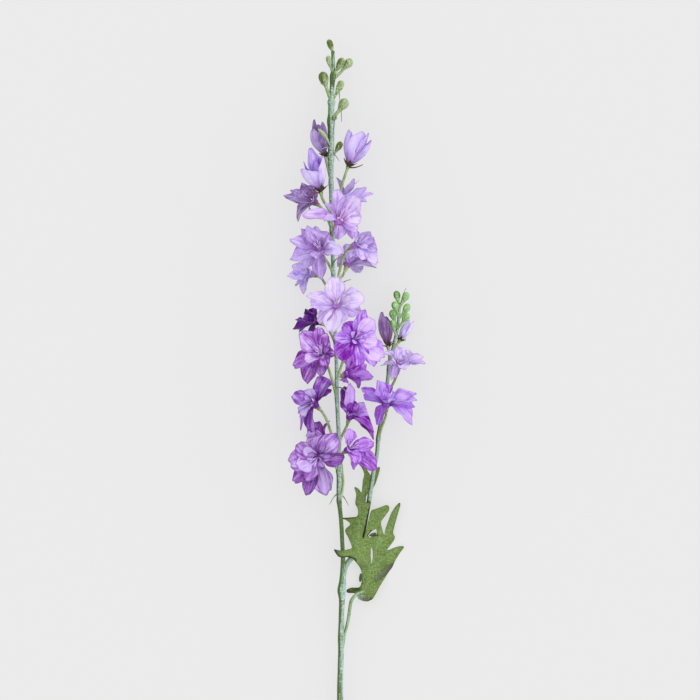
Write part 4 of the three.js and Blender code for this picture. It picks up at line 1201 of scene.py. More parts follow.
@dataclass
class Stems:
    """The stem, its branch, the stalks, the green buds and the bracts."""

    main: StemPlastic = StemPlastic("stem", "#7E9E86", "#4A6428", "#C0D4CC", 0.5, 1.3, 0.9)
    branch: StemPlastic = StemPlastic("branch", "#84A288", "#4C5628", "#B0C6BC", 0.45, 0.9, 0.8)
    stalk: StemPlastic = StemPlastic("stalks", "#98B274", "#7C9148", "#C0CEB6", 0.45, 0.8, 0.4)
    bud: StemPlastic = StemPlastic("green buds", "#7E9658", "#57681F", "#BACBAC", 0.5, 1.2, 0.5)
    fresh: StemPlastic = StemPlastic("branch buds", "#7AAA56", "#4E7A32", "#B6D4A6", 0.5, 1.1, 0.4)
    scrap: StemPlastic = StemPlastic("bracts", "#93A584", "#6C7850", "#C8D2C4", 0.4, 0.8, 0.3)

    SIDES = 24  # points round a stem
    STEP = 1.6  # distance between its rings
    SLIM = 0.97  # a stem's share of its table's radius, so that its knobs stay in its solid
    GROOVES = ((5, 0.035, 0.012), (9, 0.02, -0.02))  # number, depth, radians of turn in a millimetre
    KNOB = 0.02  # height of its knobs
    NODE = (0.2, 2.6)  # height and half length of the swelling at a node
    STALK = (22, 14)  # rings of a flower stalk and points round it
    CLUB = (34, 16)  # those of a green bud
    CLUB_STALK = 0.36  # thickness of a green bud's stalk as a share of the bud's
    BRACT = 0.62  # radius of a bract at its foot
    SPOON = PetalCut(0.35, 0.7, 0.3, 0.2, 2, 0.3, 0.1, 0.02, 0.01, 0.1, 0.02, 0.1)
    SPOON_SIDE = (0.9, 0.5, 0)  # the direction of its width
    SPOON_WIDTH = 3.0

    def rod(
        self,
        rows: Sequence[Row],
        nodes: Sequence[float],
        wear_and_shade: Sequence[Row],
        chance: np.random.Generator,
    ) -> Patch:
        """A stem along its table, grooved, a little knobbly and swollen at its nodes.

        The radius is the table's times 1 + grooves + knobs + a bell round every node.

        Args:
            rows: the stem's table.
            nodes: the y of each node.
            wear_and_shade: y and tone along it.
            chance: where its small differences come from.

        Returns:
            The stem.
        """
        line = curved(rows, self.STEP)
        a = round_about(self.SIDES)
        y = line[:, 1:2]
        groove = sum(depth * np.cos(count * a + turn * y) for count, depth, turn in self.GROOVES)
        phase = chance.uniform(0, 6.28, 3)
        knobs = self.KNOB * (np.sin(y / 3.1 + phase[0] + a) + np.sin(y / 7.3 + phase[1]))
        high, spread = self.NODE
        swell = high * sum(bump(y, at, spread) for at in nodes)
        line[:, 3] *= self.SLIM
        tone = np.interp(line[:, 1], *np.transpose(wear_and_shade))
        return tube(line, self.SIDES, groove + knobs + swell, tone)

    def club(self, rows: Sequence[Row], bud: Row, chance: np.random.Generator) -> Patch:
        """A green bud on its short stalk: a bar that swells evenly to a club with a round end.

        Args:
            rows: the stem that carries it.
            bud: middle x, y, z, length, width, the y of its node and its tone.
            chance: where its small differences come from.

        Returns:
            The bud.
        """
        middle = np.array(bud[:3])
        length, width, node, tone = bud[3:]
        start = row_at(rows, node)[:3]
        run = float(np.linalg.norm(middle - start)) + length / 2
        way = unit(middle - start)
        rings, sides = self.CLUB
        s = np.linspace(0, 1, rings)
        swell = smooth((s - 1 + 1.25 * length / run) / (0.8 * length / run))
        round_end = np.sqrt(1 - ((s - 1) * run / (width / 2) + 1).clip(0, 0.985) ** 2)
        radius = width / 2 * (self.CLUB_STALK + (1 - self.CLUB_STALK) * swell) * round_end
        sag = np.array([0, -0.06 * run, 0]) * np.sin(np.pi * s)[:, None]
        relief = 0.06 * np.cos(3 * round_about(sides) + chance.uniform(0, 6)) * swell[:, None]
        line = start + way * (run * s)[:, None] + sag
        return tube(np.column_stack([line, radius]), sides, relief, tone * swell - 0.15)

    def bract(self, row: Row) -> Patch:
        """A thin curved bract from its row, thickest at its foot, with a bow along the stem."""
        foot, tip = np.array(row, float).reshape(2, 3)
        s = np.linspace(0, 1, 12)[:, None]
        bow = np.array([0, 0.24 * np.linalg.norm(tip - foot), 0]) * np.sin(np.pi * s) / 2
        radius = self.BRACT * (1 - 0.62 * s[:, 0])
        return tube(np.column_stack([foot + (tip - foot) * s + bow, radius]), 8)

    def build(self, heads: Sequence[Head]) -> None:
        """Makes and dresses every green part but the leaf."""
        chance = np.random.default_rng(7)
        on_stem = [h.node for h in heads if not h.branch] + [b[5] for b in Spike.GREEN_BUDS]
        on_branch = [h.node for h in heads if h.branch]
        self.rod(Spike.STEM, on_stem, Spike.STEM_WORN, chance).piece(
            "main_stem", self.main.make(), Slot.STEM, "stem"
        )
        self.rod(Spike.BRANCH, on_branch, Spike.BRANCH_WEAR_AND_SHADE, chance).piece(
            "side_branch", self.branch.make(), Slot.STEM
        )
        rings, sides = self.STALK
        for head in heads:
            line = head.stalk(rings)
            line[:-1, 3] *= 0.92 + 0.4 * bump(np.linspace(0, 1, rings), 0, 0.12)
            tube(line, sides, 0.03 * np.cos(4 * np.arange(sides))[None]).piece(
                "stalk_" + head.name, self.stalk.make(), Slot.STEM
            )
        for name, rows, buds, finish in (
            ("green_buds", Spike.STEM, Spike.GREEN_BUDS, self.bud),
            ("branch_buds", Spike.BRANCH, Spike.BRANCH_BUDS, self.fresh),
        ):
            clubs = [self.club(rows, bud, chance) for bud in buds]
            Patch.joined(clubs).piece(name, finish.make(), Slot.STEM)
        bracts = [self.bract(row) for row in Spike.BRACTS]
        Patch.joined(bracts).piece("bracts", self.scrap.make(), Slot.STEM)
        curve = tuple(np.array(Spike.SPOON, float))
        side = unit(np.array(self.SPOON_SIDE))
        spoon = self.SPOON.petal(curve, side, self.SPOON_WIDTH, FREE, 0.2, chance)
        spoon.piece("spoon_bract", self.stalk.make(), Slot.STEM)


# Leaf -------------------------------------------------------------------------------------------


@dataclass
class Leaf:
    """The lobed leaf, laid over the branch and partly over the stem."""

    cloth: LeafCloth = LeafCloth()
    # The underside: its vein colour is also the painted light on the turned scraps, its darker colours
    # their painted shade.
    under: LeafCloth = LeafCloth("leaf underside", "#6C7A58", "#4A5238", "#86947A", "#A2B8A4")
    stalk: StemPlastic = StemPlastic("leaf stalk", "#86A370", "#66804A", "#BCCEC0", 0.4)

    HEIGHT = 1.5  # mean height of its middle over the table
    FOOT = (-134.0, 4.6, 22.0)  # y, rise and spread of its rise to the stalk
    WAVES = ((2.4, 7.0, 19.0), (1.8, -15.0, 9.0))  # height, run along x and along y
    CLEAR = 2.4  # its middle over the top of a stem that it lies on
    EASE = 7.0  # length over which such a ridge rises
    BRANCH_RIDGE = (-108, -60, 15)  # from y, to y and spread of its rise over the branch
    STEM_RIDGE = (-106, -92, 9)  # those of its rise over the stem
    STEP = 1.3  # spacing of its points
    RIM_STEP = 0.9  # spacing of the points of its rim
    RIB = 0.9  # half width of a rib at its root
    EDGE = 0.5  # width of the darker rim
    THICK = 0.5
    SCRAP = (0.3, 0.3)  # thickness of a turned scrap, and how far it lies over the blade
    STALK_SIDES = 14

    def height(self, x: np.ndarray, y: np.ndarray) -> np.ndarray:
        """Height of its middle: waved, raised to the stalk, and high over each stem under it.

        Over a stem it is the larger of its own height and the stem's top, weighed by a bell
        across the stem and an even rise along it.
        """
        foot = self.FOOT[1] * bump(y, self.FOOT[0], self.FOOT[2])
        wave = sum(h * np.sin(x / a + y / b) for h, a, b in self.WAVES)
        low = np.maximum(HALF_BLADE, self.HEIGHT + foot + wave)
        height = low.copy()
        for rows, (start, end, spread) in (
            (Spike.BRANCH, self.BRANCH_RIDGE),
            (Spike.STEM, self.STEM_RIDGE),
        ):
            middle, _, z, radius = np.moveaxis(row_at(rows, y), -1, 0)
            share = (
                smooth((y - start) / self.EASE + 1)
                * smooth((end - y) / self.EASE + 1)
                * bump(x, middle, spread)
            )
            height = np.maximum(height, low + (z + radius + self.CLEAR - low) * share)
        return height

    def off(self, flat: np.ndarray, lines: np.ndarray) -> tuple[np.ndarray, np.ndarray]:
        """Distance of each point from each line, x, y to x, y, and the share along it."""
        a, b = lines[:, :2], lines[:, 2:4]
        run = b - a
        away = flat[:, None] - a
        share = np.clip((away * run).sum(-1) / (run * run).sum(-1), 0, 1)
        return np.linalg.norm(away - run * share[..., None], axis=-1), share

    def tone(self, flat: np.ndarray, rim: np.ndarray) -> np.ndarray:
        """Tone of the leaf: 0.5, up to 1 on its ribs, and lower along its rim, on its brown marks and in
        its painted shadows.
        """
        far, share = self.off(flat, np.array(Spike.LEAF_RIBS, dtype=float))
        ribs = bump(far, 0, self.RIB * (1 - 0.6 * share)).max(1)
        # Brown marks and painted shadows: strokes of a width and a strength.
        strokes = np.array(Spike.LEAF_STAINS_AND_SHADOWS)
        far, _ = self.off(flat, strokes)
        stains_and_shadows = (strokes[:, 5] * bump(far, 0, strokes[:, 4])).max(1)
        edge = np.linalg.norm(flat[:, None] - rim[None], axis=2).min(1)
        return 0.5 + 0.4 * ribs - stains_and_shadows - 0.3 * bump(edge, 0, self.EDGE)

    def blade(self) -> Patch:
        """The blade: the outline with a grid of points in it, cut in triangles, in two faces."""
        closed = [*Spike.LEAF_OUTLINE, Spike.LEAF_OUTLINE[0]]
        rim = curved([[x, y, 0.0] for x, y in closed], self.RIM_STEP)[:-1, :2]
        loops = [rim, *[np.array(hole, dtype=float) for hole in Spike.LEAF_HOLES]]
        x, y = np.meshgrid(
            *(np.arange(low, high, self.STEP) for low, high in zip(rim.min(0), rim.max(0)))
        )
        x += 0.5 * self.STEP * (np.arange(len(x))[:, None] % 2)
        inner = np.column_stack([x.ravel(), y.ravel()])
        inner = inner[self.solid(inner, loops)]
        edge = np.vstack(loops)
        far = np.linalg.norm(inner[:, None] - edge[None], axis=2).min(1)
        inner = inner[far > 0.55 * self.STEP]
        starts = np.cumsum([0, *map(len, loops)])
        sides = [
            [int(start + i), int(start + (i + 1) % len(loop))]
            for start, loop in zip(starts, loops)
            for i in range(len(loop))
        ]
        places = [tuple(map(float, p)) for p in np.vstack([edge, inner])]
        points, _, faces, *_ = delaunay_2d_cdt(places, sides, [], 0, 1e-5)
        flat = np.array([tuple(p) for p in points])
        faces = np.array([f for f in faces if len(f) == 3])
        return self.slab(flat, faces[self.solid(flat[faces].mean(1), loops)], edge)

    def solid(self, flat: np.ndarray, loops: Sequence[np.ndarray]) -> np.ndarray:
        """Whether each point lies in the outline, the first loop, and in no hole, the others."""
        return inside(flat, loops[0]) & ~np.any([inside(flat, hole) for hole in loops[1:]], axis=0)

    def slab(self, flat: np.ndarray, faces: np.ndarray, edge: np.ndarray) -> Patch:
        """Both faces of the blade and its rim, which is where an edge belongs to one face only."""
        used, faces = np.unique(faces, return_inverse=True)
        flat, faces = flat[used], faces.reshape(-1, 3)
        z = self.height(flat[:, 0], flat[:, 1])
        count = len(flat)
        half = self.THICK / 2
        points = np.vstack([np.column_stack([flat, z + half]), np.column_stack([flat, z - half])])
        edges = np.vstack([faces[:, [0, 1]], faces[:, [1, 2]], faces[:, [2, 0]]])
        keys = np.sort(edges, axis=1) @ [count, 1]
        _, first, times = np.unique(keys, return_index=True, return_counts=True)
        rim = edges[first[times == 1]]
        quads = np.stack([rim[:, 1], rim[:, 0], rim[:, 0] + count, rim[:, 1] + count], -1)
        both = np.vstack([flat, flat])
        tone = self.tone(flat, edge)
        return Patch(
            points,
            [faces, faces[:, ::-1] + count, quads],
            [both[faces], both[faces[:, ::-1] + count], both[quads]],
            np.concatenate([tone, tone]),
        ).outward()

    def scrap(self, row: Row) -> Patch:
        """A scrap of the leaf turned over: an oval that lies on it and swells in its middle."""
        a, b = np.array(row[:4]).reshape(2, 2)
        width, swell, first, last = row[4:]
        thick, lift = self.SCRAP
        s = np.linspace(-0.985, 0.985, 31)[:, None]
        v = np.linspace(-1, 1, 13)[None, :]
        side = np.array([a[1] - b[1], b[0] - a[0]]) / np.linalg.norm(b - a)
        half = width / 2 * np.sqrt(1 - s**2)
        flat = (a + b) / 2 + (b - a) / 2 * s[..., None] + side * (half * v)[..., None]
        z = self.height(flat[..., 0], flat[..., 1]) + lift + swell * (1 - v**2) * (1 - s**2)
        # Painted light and shade: the tone runs from the first end to the last, and is lighter to one
        # side across.
        tone = first + (last - first) * (s + 1) / 2 + 0.25 * v * np.abs(v) + 0 * z
        return shell(np.dstack([flat, z]), s[:, 0] / 2 + 0.5, np.full(z.shape, thick), tone)

    def build(self) -> None:
        """Makes and dresses the blade, its turned scraps and its stalk."""
        self.blade().piece("leaf_blade", self.cloth.make(), Slot.LEAF, "leaf")
        Patch.joined([self.scrap(row) for row in Spike.LEAF_SCRAPS]).piece(
            "leaf_scraps", self.under.make(), Slot.LEAF
        )
        rows = curved(Spike.LEAF_STALK, self.RIM_STEP)
        uneven = 0.04 * np.cos(3 * np.arange(self.STALK_SIDES))[None]
        stalk = tube(rows, self.STALK_SIDES, uneven)
        stalk.piece("leaf_stalk", self.stalk.make(), Slot.LEAF)


# The spike --------------------------------------------------------------------------------------


class Spike:
    """The whole spike: its layout and the order in which it is made."""

    # Centre line of the stem, from the cut end to the tip: x, y, z, radius.
    STEM = (
        (-11.6, -312.8, 2.5, 2.5), (-11.6, -216.8, 8.9, 2.4), (-10.9, -180, 11.8, 2.3),
        (-10.8, -168.8, 12.6, 2.5), (-10.4, -150.4, 13.9, 2.3), (-10, -137.6, 14.8, 2.6),
        (-10.3, -130, 15.2, 3.4), (-9.5, -122, 15.7, 2.8), (-9.2, -104.8, 16.4, 1.9),
        (-10.8, -72.8, 18, 1.7), (-12.4, -56.8, 19, 1.9), (-12.4, -32.8, 20.4, 2), (-12.8, -0.8, 22, 1.7),
        (-14, 23.2, 23, 1.6), (-14.4, 51.2, 23.5, 1.5), (-15.6, 79.2, 24, 1.5), (-16.4, 111.2, 24, 1.6),
        (-17.2, 133.6, 24, 1.7), (-18, 171.2, 23.5, 2), (-18.8, 199.2, 23, 1.9),
        (-18.8, 223.2, 22.5, 2.6), (-18.8, 251.2, 21.5, 2.6), (-18, 274, 20.5, 2), (-17, 288, 20, 1.7),
        (-17.4, 303, 19.5, 1.2),
    )
    # Centre line of the side branch, from its fork to its tip.
    BRANCH = (
        (-10.8, -130.4, 15, 2.4), (-7.6, -112, 13.6, 2.3), (-1.2, -103.2, 11.6, 2.1),
        (2.8, -97.6, 10.4, 2), (6.8, -83.2, 8.6, 2), (10.8, -64, 7.6, 1.9), (13.2, -48.8, 8, 1.9),
        (15.6, -33.6, 9.4, 1.7), (18, -21.6, 11, 1.7), (19.6, -4.8, 13, 1.7), (22.8, 14.4, 14.6, 1.6),
        (26.8, 40, 16, 1.5), (27.6, 50.4, 16.8, 1.5), (31.6, 67.2, 18, 1.4), (34.8, 83.2, 20, 1.2),
        (36.4, 101, 22, 1),
    )
    # How bare the dust is along the stem and along the branch: y and tone. On the branch, where it
    # runs under the leaf, a tone above 1 is painted shade.
    STEM_WORN = (
        (-313, 0.5), (-160, 0.46), (-126, 0.35), (-116, 0.45), (-110, 0.7), (-106, 1), (-62, 0.95),
        (-55, 0.75), (-48, 0.35), (-28, 0.2), (100, 0.2), (190, 0.1), (216, 0.05), (228, 0.2),
        (236, 0.45), (250, 0.45), (258, 0), (272, 0.1), (276, 0.8), (285, 0.85), (290, 0.25), (295, 0.2),
        (300, 0.8), (303, 1),
    )
    BRANCH_WEAR_AND_SHADE = (
        (-130, 0.1), (-108, 0.25), (-96, 0.6), (-90, 1.6), (-62, 1.6), (-58, 0.5), (-50, 0.25),
        (-30, 0.3), (20, 0.3), (101, 0.35),
    )
    # Green buds: middle x, y, z, length, width, y of the node, tone.
    GREEN_BUDS = (
        (-19.4, 308.2, 19.5, 8.6, 4.8, 303, 1), (-20.4, 295.2, 22, 8, 4.4, 284, 0.2),
        (-11.4, 293.2, 23, 9, 6.4, 283, 0.75), (-5.2, 293.9, 18, 8, 7, 280, 0.4),
        (-24.6, 281.6, 22, 9.6, 7.8, 262, 0.8), (-12, 274.8, 23, 9.4, 5.8, 262, 0.1),
        (-9, 261, 20, 9, 8, 248, 0.3), (-16, 249.6, 24.4, 4.6, 4.4, 245, 0.6),
        (-12.6, 226.6, 26, 7.8, 5, 217, 0.9),
    )
    BRANCH_BUDS = (
        (34, 107.2, 22, 7, 5.6, 98, 0.7), (40.9, 106.4, 23, 7, 5.8, 97, 0.2),
        (32.6, 98.8, 23, 7, 6, 90, 0.35), (41.6, 97.3, 20, 7, 5.8, 88, 0.3),
        (31, 92.2, 20, 7, 6, 80, 0.4), (40.9, 90, 25, 7, 6, 80, 0.35), (30.6, 84.6, 28, 6, 5, 75, 0.5),
    )
    # Thin bracts: foot x, y, z, then their tip.
    BRACTS = (
        (-13.5, -52, 18.6, -20, -61, 18), (-11.5, -52, 18.6, -4.6, -62, 18),
        (-14.4, 33, 25, -5.6, 28.6, 39), (-17, 133, 25, -10, 138, 30), (-21.4, 271, 21.4, -27.6, 277, 23),
        (-10.6, 259, 21, -10.4, 246, 20), (-12.4, 272, 23, -11.8, 262, 25),
        (-18.4, 221, 23.6, -12, 214, 27), (37, 100, 22, 41.4, 112.8, 23),
        (-19.2, 224.4, 24.6, -26.4, 223, 33), (-15.6, 111, 25, -2.8, 119.5, 28),
    )
    # A spoon-shaped bract in front of a bud: root, bow and tip.
    SPOON = ((-19.6, 226, 25), (-21.6, 233, 35.5), (-29.2, 239.4, 37))
    # Outline of the leaf, seen from above, once round from its stalk.
    LEAF_OUTLINE = (
        (3.2, -137.9), (8.5, -139.5), (12.9, -138.5), (15.6, -136.1), (21, -126.6), (26.4, -118.4),
        (30.9, -111.4), (33.5, -106.3), (36.9, -100.8), (40, -96.2), (37.9, -95.4), (33.6, -96.2),
        (26.4, -98.7), (29.9, -93.6), (32.7, -88.5), (31.3, -84.6), (32.3, -79.2), (34.5, -71.1),
        (37.1, -62.1), (36.3, -60.2), (33.6, -62.6), (29.9, -68), (27.3, -74.7), (24.8, -81.9),
        (24, -86.1), (22.4, -81), (21.5, -75.6), (24.6, -71.1), (27.8, -66.4), (28, -63.3), (25.8, -62),
        (21, -63.5), (16.6, -64.9), (13.4, -66.3), (11.5, -72.5), (9.6, -79.6), (7.3, -87.5),
        (6.5, -85.9), (8.7, -78.7), (10.5, -71.6), (12, -64.6), (12.9, -60.5), (9.5, -59.7), (9.3, -56.9),
        (10.1, -53.9), (15.5, -47.8), (18.4, -40.8), (20.6, -31.7), (16.8, -32.7), (13.5, -37.8),
        (10.5, -34.1), (6.1, -27.9), (-3.6, -23), (4.5, -30.3), (7.7, -36.7), (6.7, -42.8), (5.7, -51.9),
        (3.5, -49.2), (0, -47.8), (1.4, -53.9), (0.6, -60.4), (2.6, -65), (2.2, -70.6), (-3, -71.8),
        (-10.4, -72.6), (-6.4, -74.4), (-3.6, -77.4), (-7.6, -82.3), (-4.5, -89), (-2.2, -95.8),
        (-5.6, -96.8), (-9.4, -97.6), (-12.9, -97.4), (-16.6, -97.6), (-13, -102.6), (-9.4, -102.8),
        (-5.6, -103.2), (-1.4, -104.6), (0.6, -106.7), (4.5, -112.7), (6.1, -119.6), (4.3, -128),
        (-2.3, -128.9), (-6.3, -130.8), (-5.4, -133.1), (0.8, -133.7),
    )
    # Holes in the leaf: its tear and its window.
    LEAF_HOLES = (
        ((13.5, -95.2), (13, -102.2), (13.6, -109.7), (14.8, -104.2), (14.6, -98.2)),
        ((17.6, -80.9), (13.5, -82.9), (10.9, -86.1), (12.7, -87.9), (14.5, -86.1), (18, -85.5)),
    )
    # Ribs of the leaf: from x, y to x, y.
    LEAF_RIBS = (
        (8.1, -132.5, 13.1, -113.3), (13.1, -113.3, 19.2, -93.2), (19.2, -93.2, 25.2, -67),
        (13.1, -113.3, 27.2, -102.2), (27.2, -102.2, 37.3, -96.7), (19.2, -93.2, 28.2, -83.1),
        (28.2, -83.1, 35.8, -62.9), (13.1, -113.3, 3, -98.2), (3, -98.2, 3.6, -75),
        (3.6, -75, 4.6, -54.9), (3, -98.2, -4, -81.1), (0, -100.7, -14.1, -99.7), (5.1, -125.4, -4, -131),
        (4.6, -54.9, 14.1, -43.8), (14.1, -43.8, 18.7, -33.7),
    )
    # Stains and shadows of the leaf: from x, y to x, y, width and strength.
    LEAF_STAINS_AND_SHADOWS = (
        (12, -63.5, 7.1, -88.1, 0.5, 0.8), (3, -129.8, -7, -131.9, 2.6, 0.62),
        (-15.9, -98, -13.1, -102, 1.1, 0.9), (-13, -102.6, -5.6, -103.2, 0.7, 0.8),
        (-4.4, -103.6, 0.2, -105.5, 1.6, 0.95), (-13.1, -99.7, 1, -101.2, 3, 0.16),
        (-10.4, -72.4, -3, -71.8, 0.8, 0.9), (-3, -71.8, 2.2, -70.4, 0.8, 0.8),
        (2.2, -70.4, 5.7, -73.4, 0.8, 0.45), (4.9, -118.4, 5.3, -125.4, 0.9, 0.9),
        (17.2, -123, 34.7, -106.9, 0.9, 0.5), (13.5, -82.7, 10.9, -86.1, 0.8, 0.9),
        (14.5, -86.3, 18, -85.7, 1, 1), (18, -86.1, 22.6, -86.7, 0.8, 0.5),
        (8.1, -138.5, 13.6, -137.5, 1.5, 0.6), (36.9, -96.8, 39.3, -95.8, 1, 0.3),
        (33.9, -65, 36.7, -60.9, 1.2, 0.25),
    )
    # Scraps of the leaf turned over: from x, y to x, y, width, swell, and tone at each end, which paints
    # light and shade along it.
    LEAF_SCRAPS = (
        (16.4, -123.4, 31.4, -109, 5.4, 0.9, 0.36, 0.12), (2.4, -135.6, 12.6, -138.2, 4.8, 0.5, 1.1, 0.1),
        (11.8, -86.2, 17.6, -84.4, 2.4, 0.3, 0.1, 0), (5.4, -117, 4.6, -124.2, 2.4, 0.2, 0.1, 0),
    )
    # Centre line of the leaf's stalk, from the stem on: x, y, z, radius.
    LEAF_STALK = (
        (-9.4, -177, 12.4, 0.9), (-7.9, -166, 13, 1.1), (-5.4, -155.6, 13.2, 1.3), (-4, -147, 12.2, 1.35),
        (-2.5, -139, 9.8, 1.35), (1.8, -133.8, 7, 1.2), (8, -131.4, 5.4, 1),
    )

    # How the petals of the blooms are cut.
    ROUND = PetalCut(widest=0.62, pinch=0.3, droop=0.3, arch=2.4)
    POINTED = PetalCut(widest=0.54, pinch=0.55, droop=0.26, arch=1.6)
    BROAD = PetalCut(widest=0.66, pinch=0.18, droop=0.3, arch=2.6)

    # The blooms, then the buds, each time the stem's first. A head's place here is its seed.
    HEADS = (
        Bloom(
            "bloom_top_left", (-29.7, 180, 21), (-35, 183.8, 26.5), 158, layer=-10, ring=3,
            petals=(
                (171, 23, 2, 8), (157, 16.5, 5, 8), (180, 15, 6, 10, 1.6, 0.1), (120, 16, 3, 10),
                (100, 11.5, -5, 9), (236, 21, 0, 12, 0.55, 0.2), (195, 13, -12, 11), (272, 9, -4, 9),
                (40, 8, 2, 9, 0.25),
            ),
            silk=PetalSilk(
                "dusky lilac", "#8E72A6", "#BCAEDC", "#6A4172", "#6B3F74", "#6E5080", "#80507F", 0.6,
            ),
            cut=POINTED,
        ),
        Bloom(
            "bloom_top_right", (-12, 181.6, 16), (-7, 186, 17.5), 166, layer=-6, ring=3,
            petals=(
                (112, 18, -2, 12, 0.1), (60, 14.5, 5, 9), (44, 17.5, 4, 9.5), (27, 19, 2, 9),
                (8, 21.5, -1, 8.5), (352, 17, -6, 9), (325, 12, -20, 12),
            ),
            silk=PetalSilk(
                "pale lilac", "#C6B2E6", "#DED1F6", "#A58BC2", "#9A78BC", "#9C82C0", "#A884C4", 0.4,
            ),
            cut=ROUND,
        ),
        Bloom(
            "bloom_upper_front", (-15.1, 161.6, 33), (-10.6, 168.5, 41), 146, layer=36,
            petals=(
                (100, 23.8, 4, 14, 0.7), (87, 14.6, 8, 11), (50, 21, 6, 15, 0.8), (318, 17, 1, 11, 0.6),
                (296, 19.5, -4, 8, 0.15), (178, 31, -1, 11), (135, 17, 4, 9), (192, 15, 5, 8),
                (348, 16, 3, 13, 0.7), (262, 17, -3, 8, 0.3),
            ),
            silk=PetalSilk(
                "clear lilac", "#CAB4E6", "#E0D2F4", "#9E7CBA", "#A86CB4", "#9A7CBE", "#A04FA8", 0.8,
            ),
            cut=BROAD,
        ),
        Bloom(
            "bloom_upper_left", (-26, 140.8, 32), (-28.2, 144.8, 40), 124, layer=18,
            petals=(
                (133, 21, 1, 10), (112, 20.5, 3, 12), (90, 21, 2, 12), (62, 20, 1, 12),
                (0, 23, 8, 14, 1.1, 0.1), (166, 25, 1, 10), (201, 25.5, -2, 12), (236, 22.6, -4, 12),
                (274, 26.6, -6, 10, 0.4), (258, 9.5, 8, 9),
            ),
            silk=PetalSilk(
                "blue violet", "#B69CD6", "#CEC2EC", "#8C69A8", "#8656A0", "#7A5A98", "#7C4694", 0.75,
                0.45,
            ),
            cut=POINTED,
        ),
        Bloom(
            "bloom_upper_right", (-2.4, 145.2, 27), (3.4, 149, 33.5), 106, layer=8, ring=4,
            petals=(
                (115, 10, 4, 9), (45, 11.5, 5, 8), (12, 13, 3, 9), (340, 16.5, 0, 10), (306, 23, -5, 9),
                (285, 15, 3, 10), (10, 10, -14, 11),
            ),
            silk=PetalSilk(
                "soft lilac", "#C0ABE2", "#DACFF4", "#9C79B6", "#8A5AA4", "#8C6CAE", "#9C62AC", 0.5,
            ),
            cut=ROUND,
        ),
        Bloom(
            "bloom_upper_back", (-6.8, 128.8, 16), (-4.4, 135.2, 13), 112, layer=-10, ring=3,
            petals=(
                (195, 10, 2, 11), (340, 23, 1, 11), (2, 21, -2, 13), (138, 12, -15, 12),
                (78, 13, -15, 12), (300, 12, -16, 13),
            ),
            silk=PetalSilk(
                "shaded lilac", "#A88CC8", "#CCBFE8", "#8C66A6", "#784A90", "#7E5E9C", "#7E5094", 0.6,
            ),
            cut=ROUND,
        ),
        Bloom(
            "bloom_upper_low_left", (-32, 123.2, 17), (-38, 125, 21.5), 98, ring=3,
            petals=(
                (190, 17.5, 2, 11, 0.8), (155, 12, 6, 11, 0.8), (262, 17.6, 0, 10, 0.6), (222, 13, -8, 9),
                (118, 11, -6, 9), (178, 12, -12, 10), (215, 11, -23, 12),
            ),
            silk=PetalSilk(
                "blue lilac", "#C2B0E2", "#DCD0F6", "#8E7AB0", "#7C62A6", "#8272A8", "#8A68A8", 0.5,
            ),
            cut=POINTED,
        ),
        Bloom(
            "bloom_middle_front", (-14.8, 96.8, 37), (-14.4, 100.4, 45.5), 82, layer=40,
            petals=(
                (96, 21.6, 2, 14, 0.8), (10, 22.7, 2, 13, 0.85), (182, 21, 0, 12, 0.7),
                (227, 21, -3, 9, 0.2), (259, 24.6, 1, 12.5, 0.8), (297, 16, 0, 8),
                (338, 20, -4, 11, 0.35), (14, 12, 8, 9), (164, 24.5, -2, 10, 0.5),
            ),
            silk=PetalSilk(
                "palest lilac", "#C4B2DE", "#DACDF0", "#9A7CB4", "#9A6CB0", "#A88CC4", "#A868B8", 0.6,
            ),
            cut=BROAD,
        ),
        Bloom(
            "bloom_middle_back_left", (-27.6, 84.8, 16), (-33.4, 87.4, 19.5), 68, layer=-8, ring=4,
            petals=(
                (203, 18.6, 1, 11), (180, 13, 5, 11), (129, 10, 4, 11), (80, 11, 3, 9), (223, 15, -5, 9),
                (300, 20, -8, 13, 0.1), (185, 13, -21, 13),
            ),
            silk=PetalSilk(
                "dark violet", "#66268E", "#8C58AC", "#400C5A", "#2A0440", "#30083F", "#36064A",
                slot=Slot.MID,
            ),
            cut=POINTED,
        ),
        Bloom(
            "bloom_middle_left", (-24.4, 56.8, 32.5), (-26.8, 61.1, 40.5), 24, layer=14, ring=5,
            petals=(
                (136, 24, 2, 14), (90, 21.6, -2, 10), (65, 17, 5, 11), (356, 11, 7, 7), (208, 25, -2, 13),
                (211, 14, 8, 10, 0.8), (240, 29, -3, 14, 0.5, 0.2), (272, 19, -4, 11, 0.2),
                (295, 12, 4, 9),
            ),
            silk=PetalSilk(
                "warm violet", "#A872C6", "#D6BEEE", "#5C1670", "#6C2090", "#662884", "#641880", 0.7, 0.6,
                Slot.MID,
            ),
            cut=ROUND,
        ),
        Bloom(
            "bloom_middle_right", (-1.2, 70.4, 33.5), (1.8, 72.9, 41.5), 38, layer=26, ring=4,
            petals=(
                (133, 17.7, 2, 12, 0.1), (48, 19.3, 1, 12, 1), (345, 17, 2, 12, 1.1),
                (307, 28, -6, 9, 0.5), (272, 22.5, -2, 12, 0.35), (221, 27, 1, 13, 0.2),
                (178, 18, 4, 9, 0.8), (85, 26, -3, 12, 0.6), (320, 27, -1, 14, 1),
            ),
            silk=PetalSilk(
                "bright violet", "#B480DE", "#D6BEF6", "#7A249A", "#7A2A9C", "#7C3AA4", "#6E1F8C", 0.6,
                0.45, Slot.MID,
            ),
            cut=BROAD,
        ),
        Bloom(
            "bloom_middle_back_right", (-10, 42.6, 11.5), (-4.6, 44, 9.5), 30, layer=-8, ring=3,
            petals=(
                (0, 18.5, 0, 12), (350, 19, 2, 12), (26, 16, 2, 12), (62, 17, -2, 13, 0.1),
                (100, 17, -2, 13, 0.1), (310, 14, -3, 12, 0.3), (215, 9, 2, 12, 0.2),
            ),
            silk=PetalSilk(
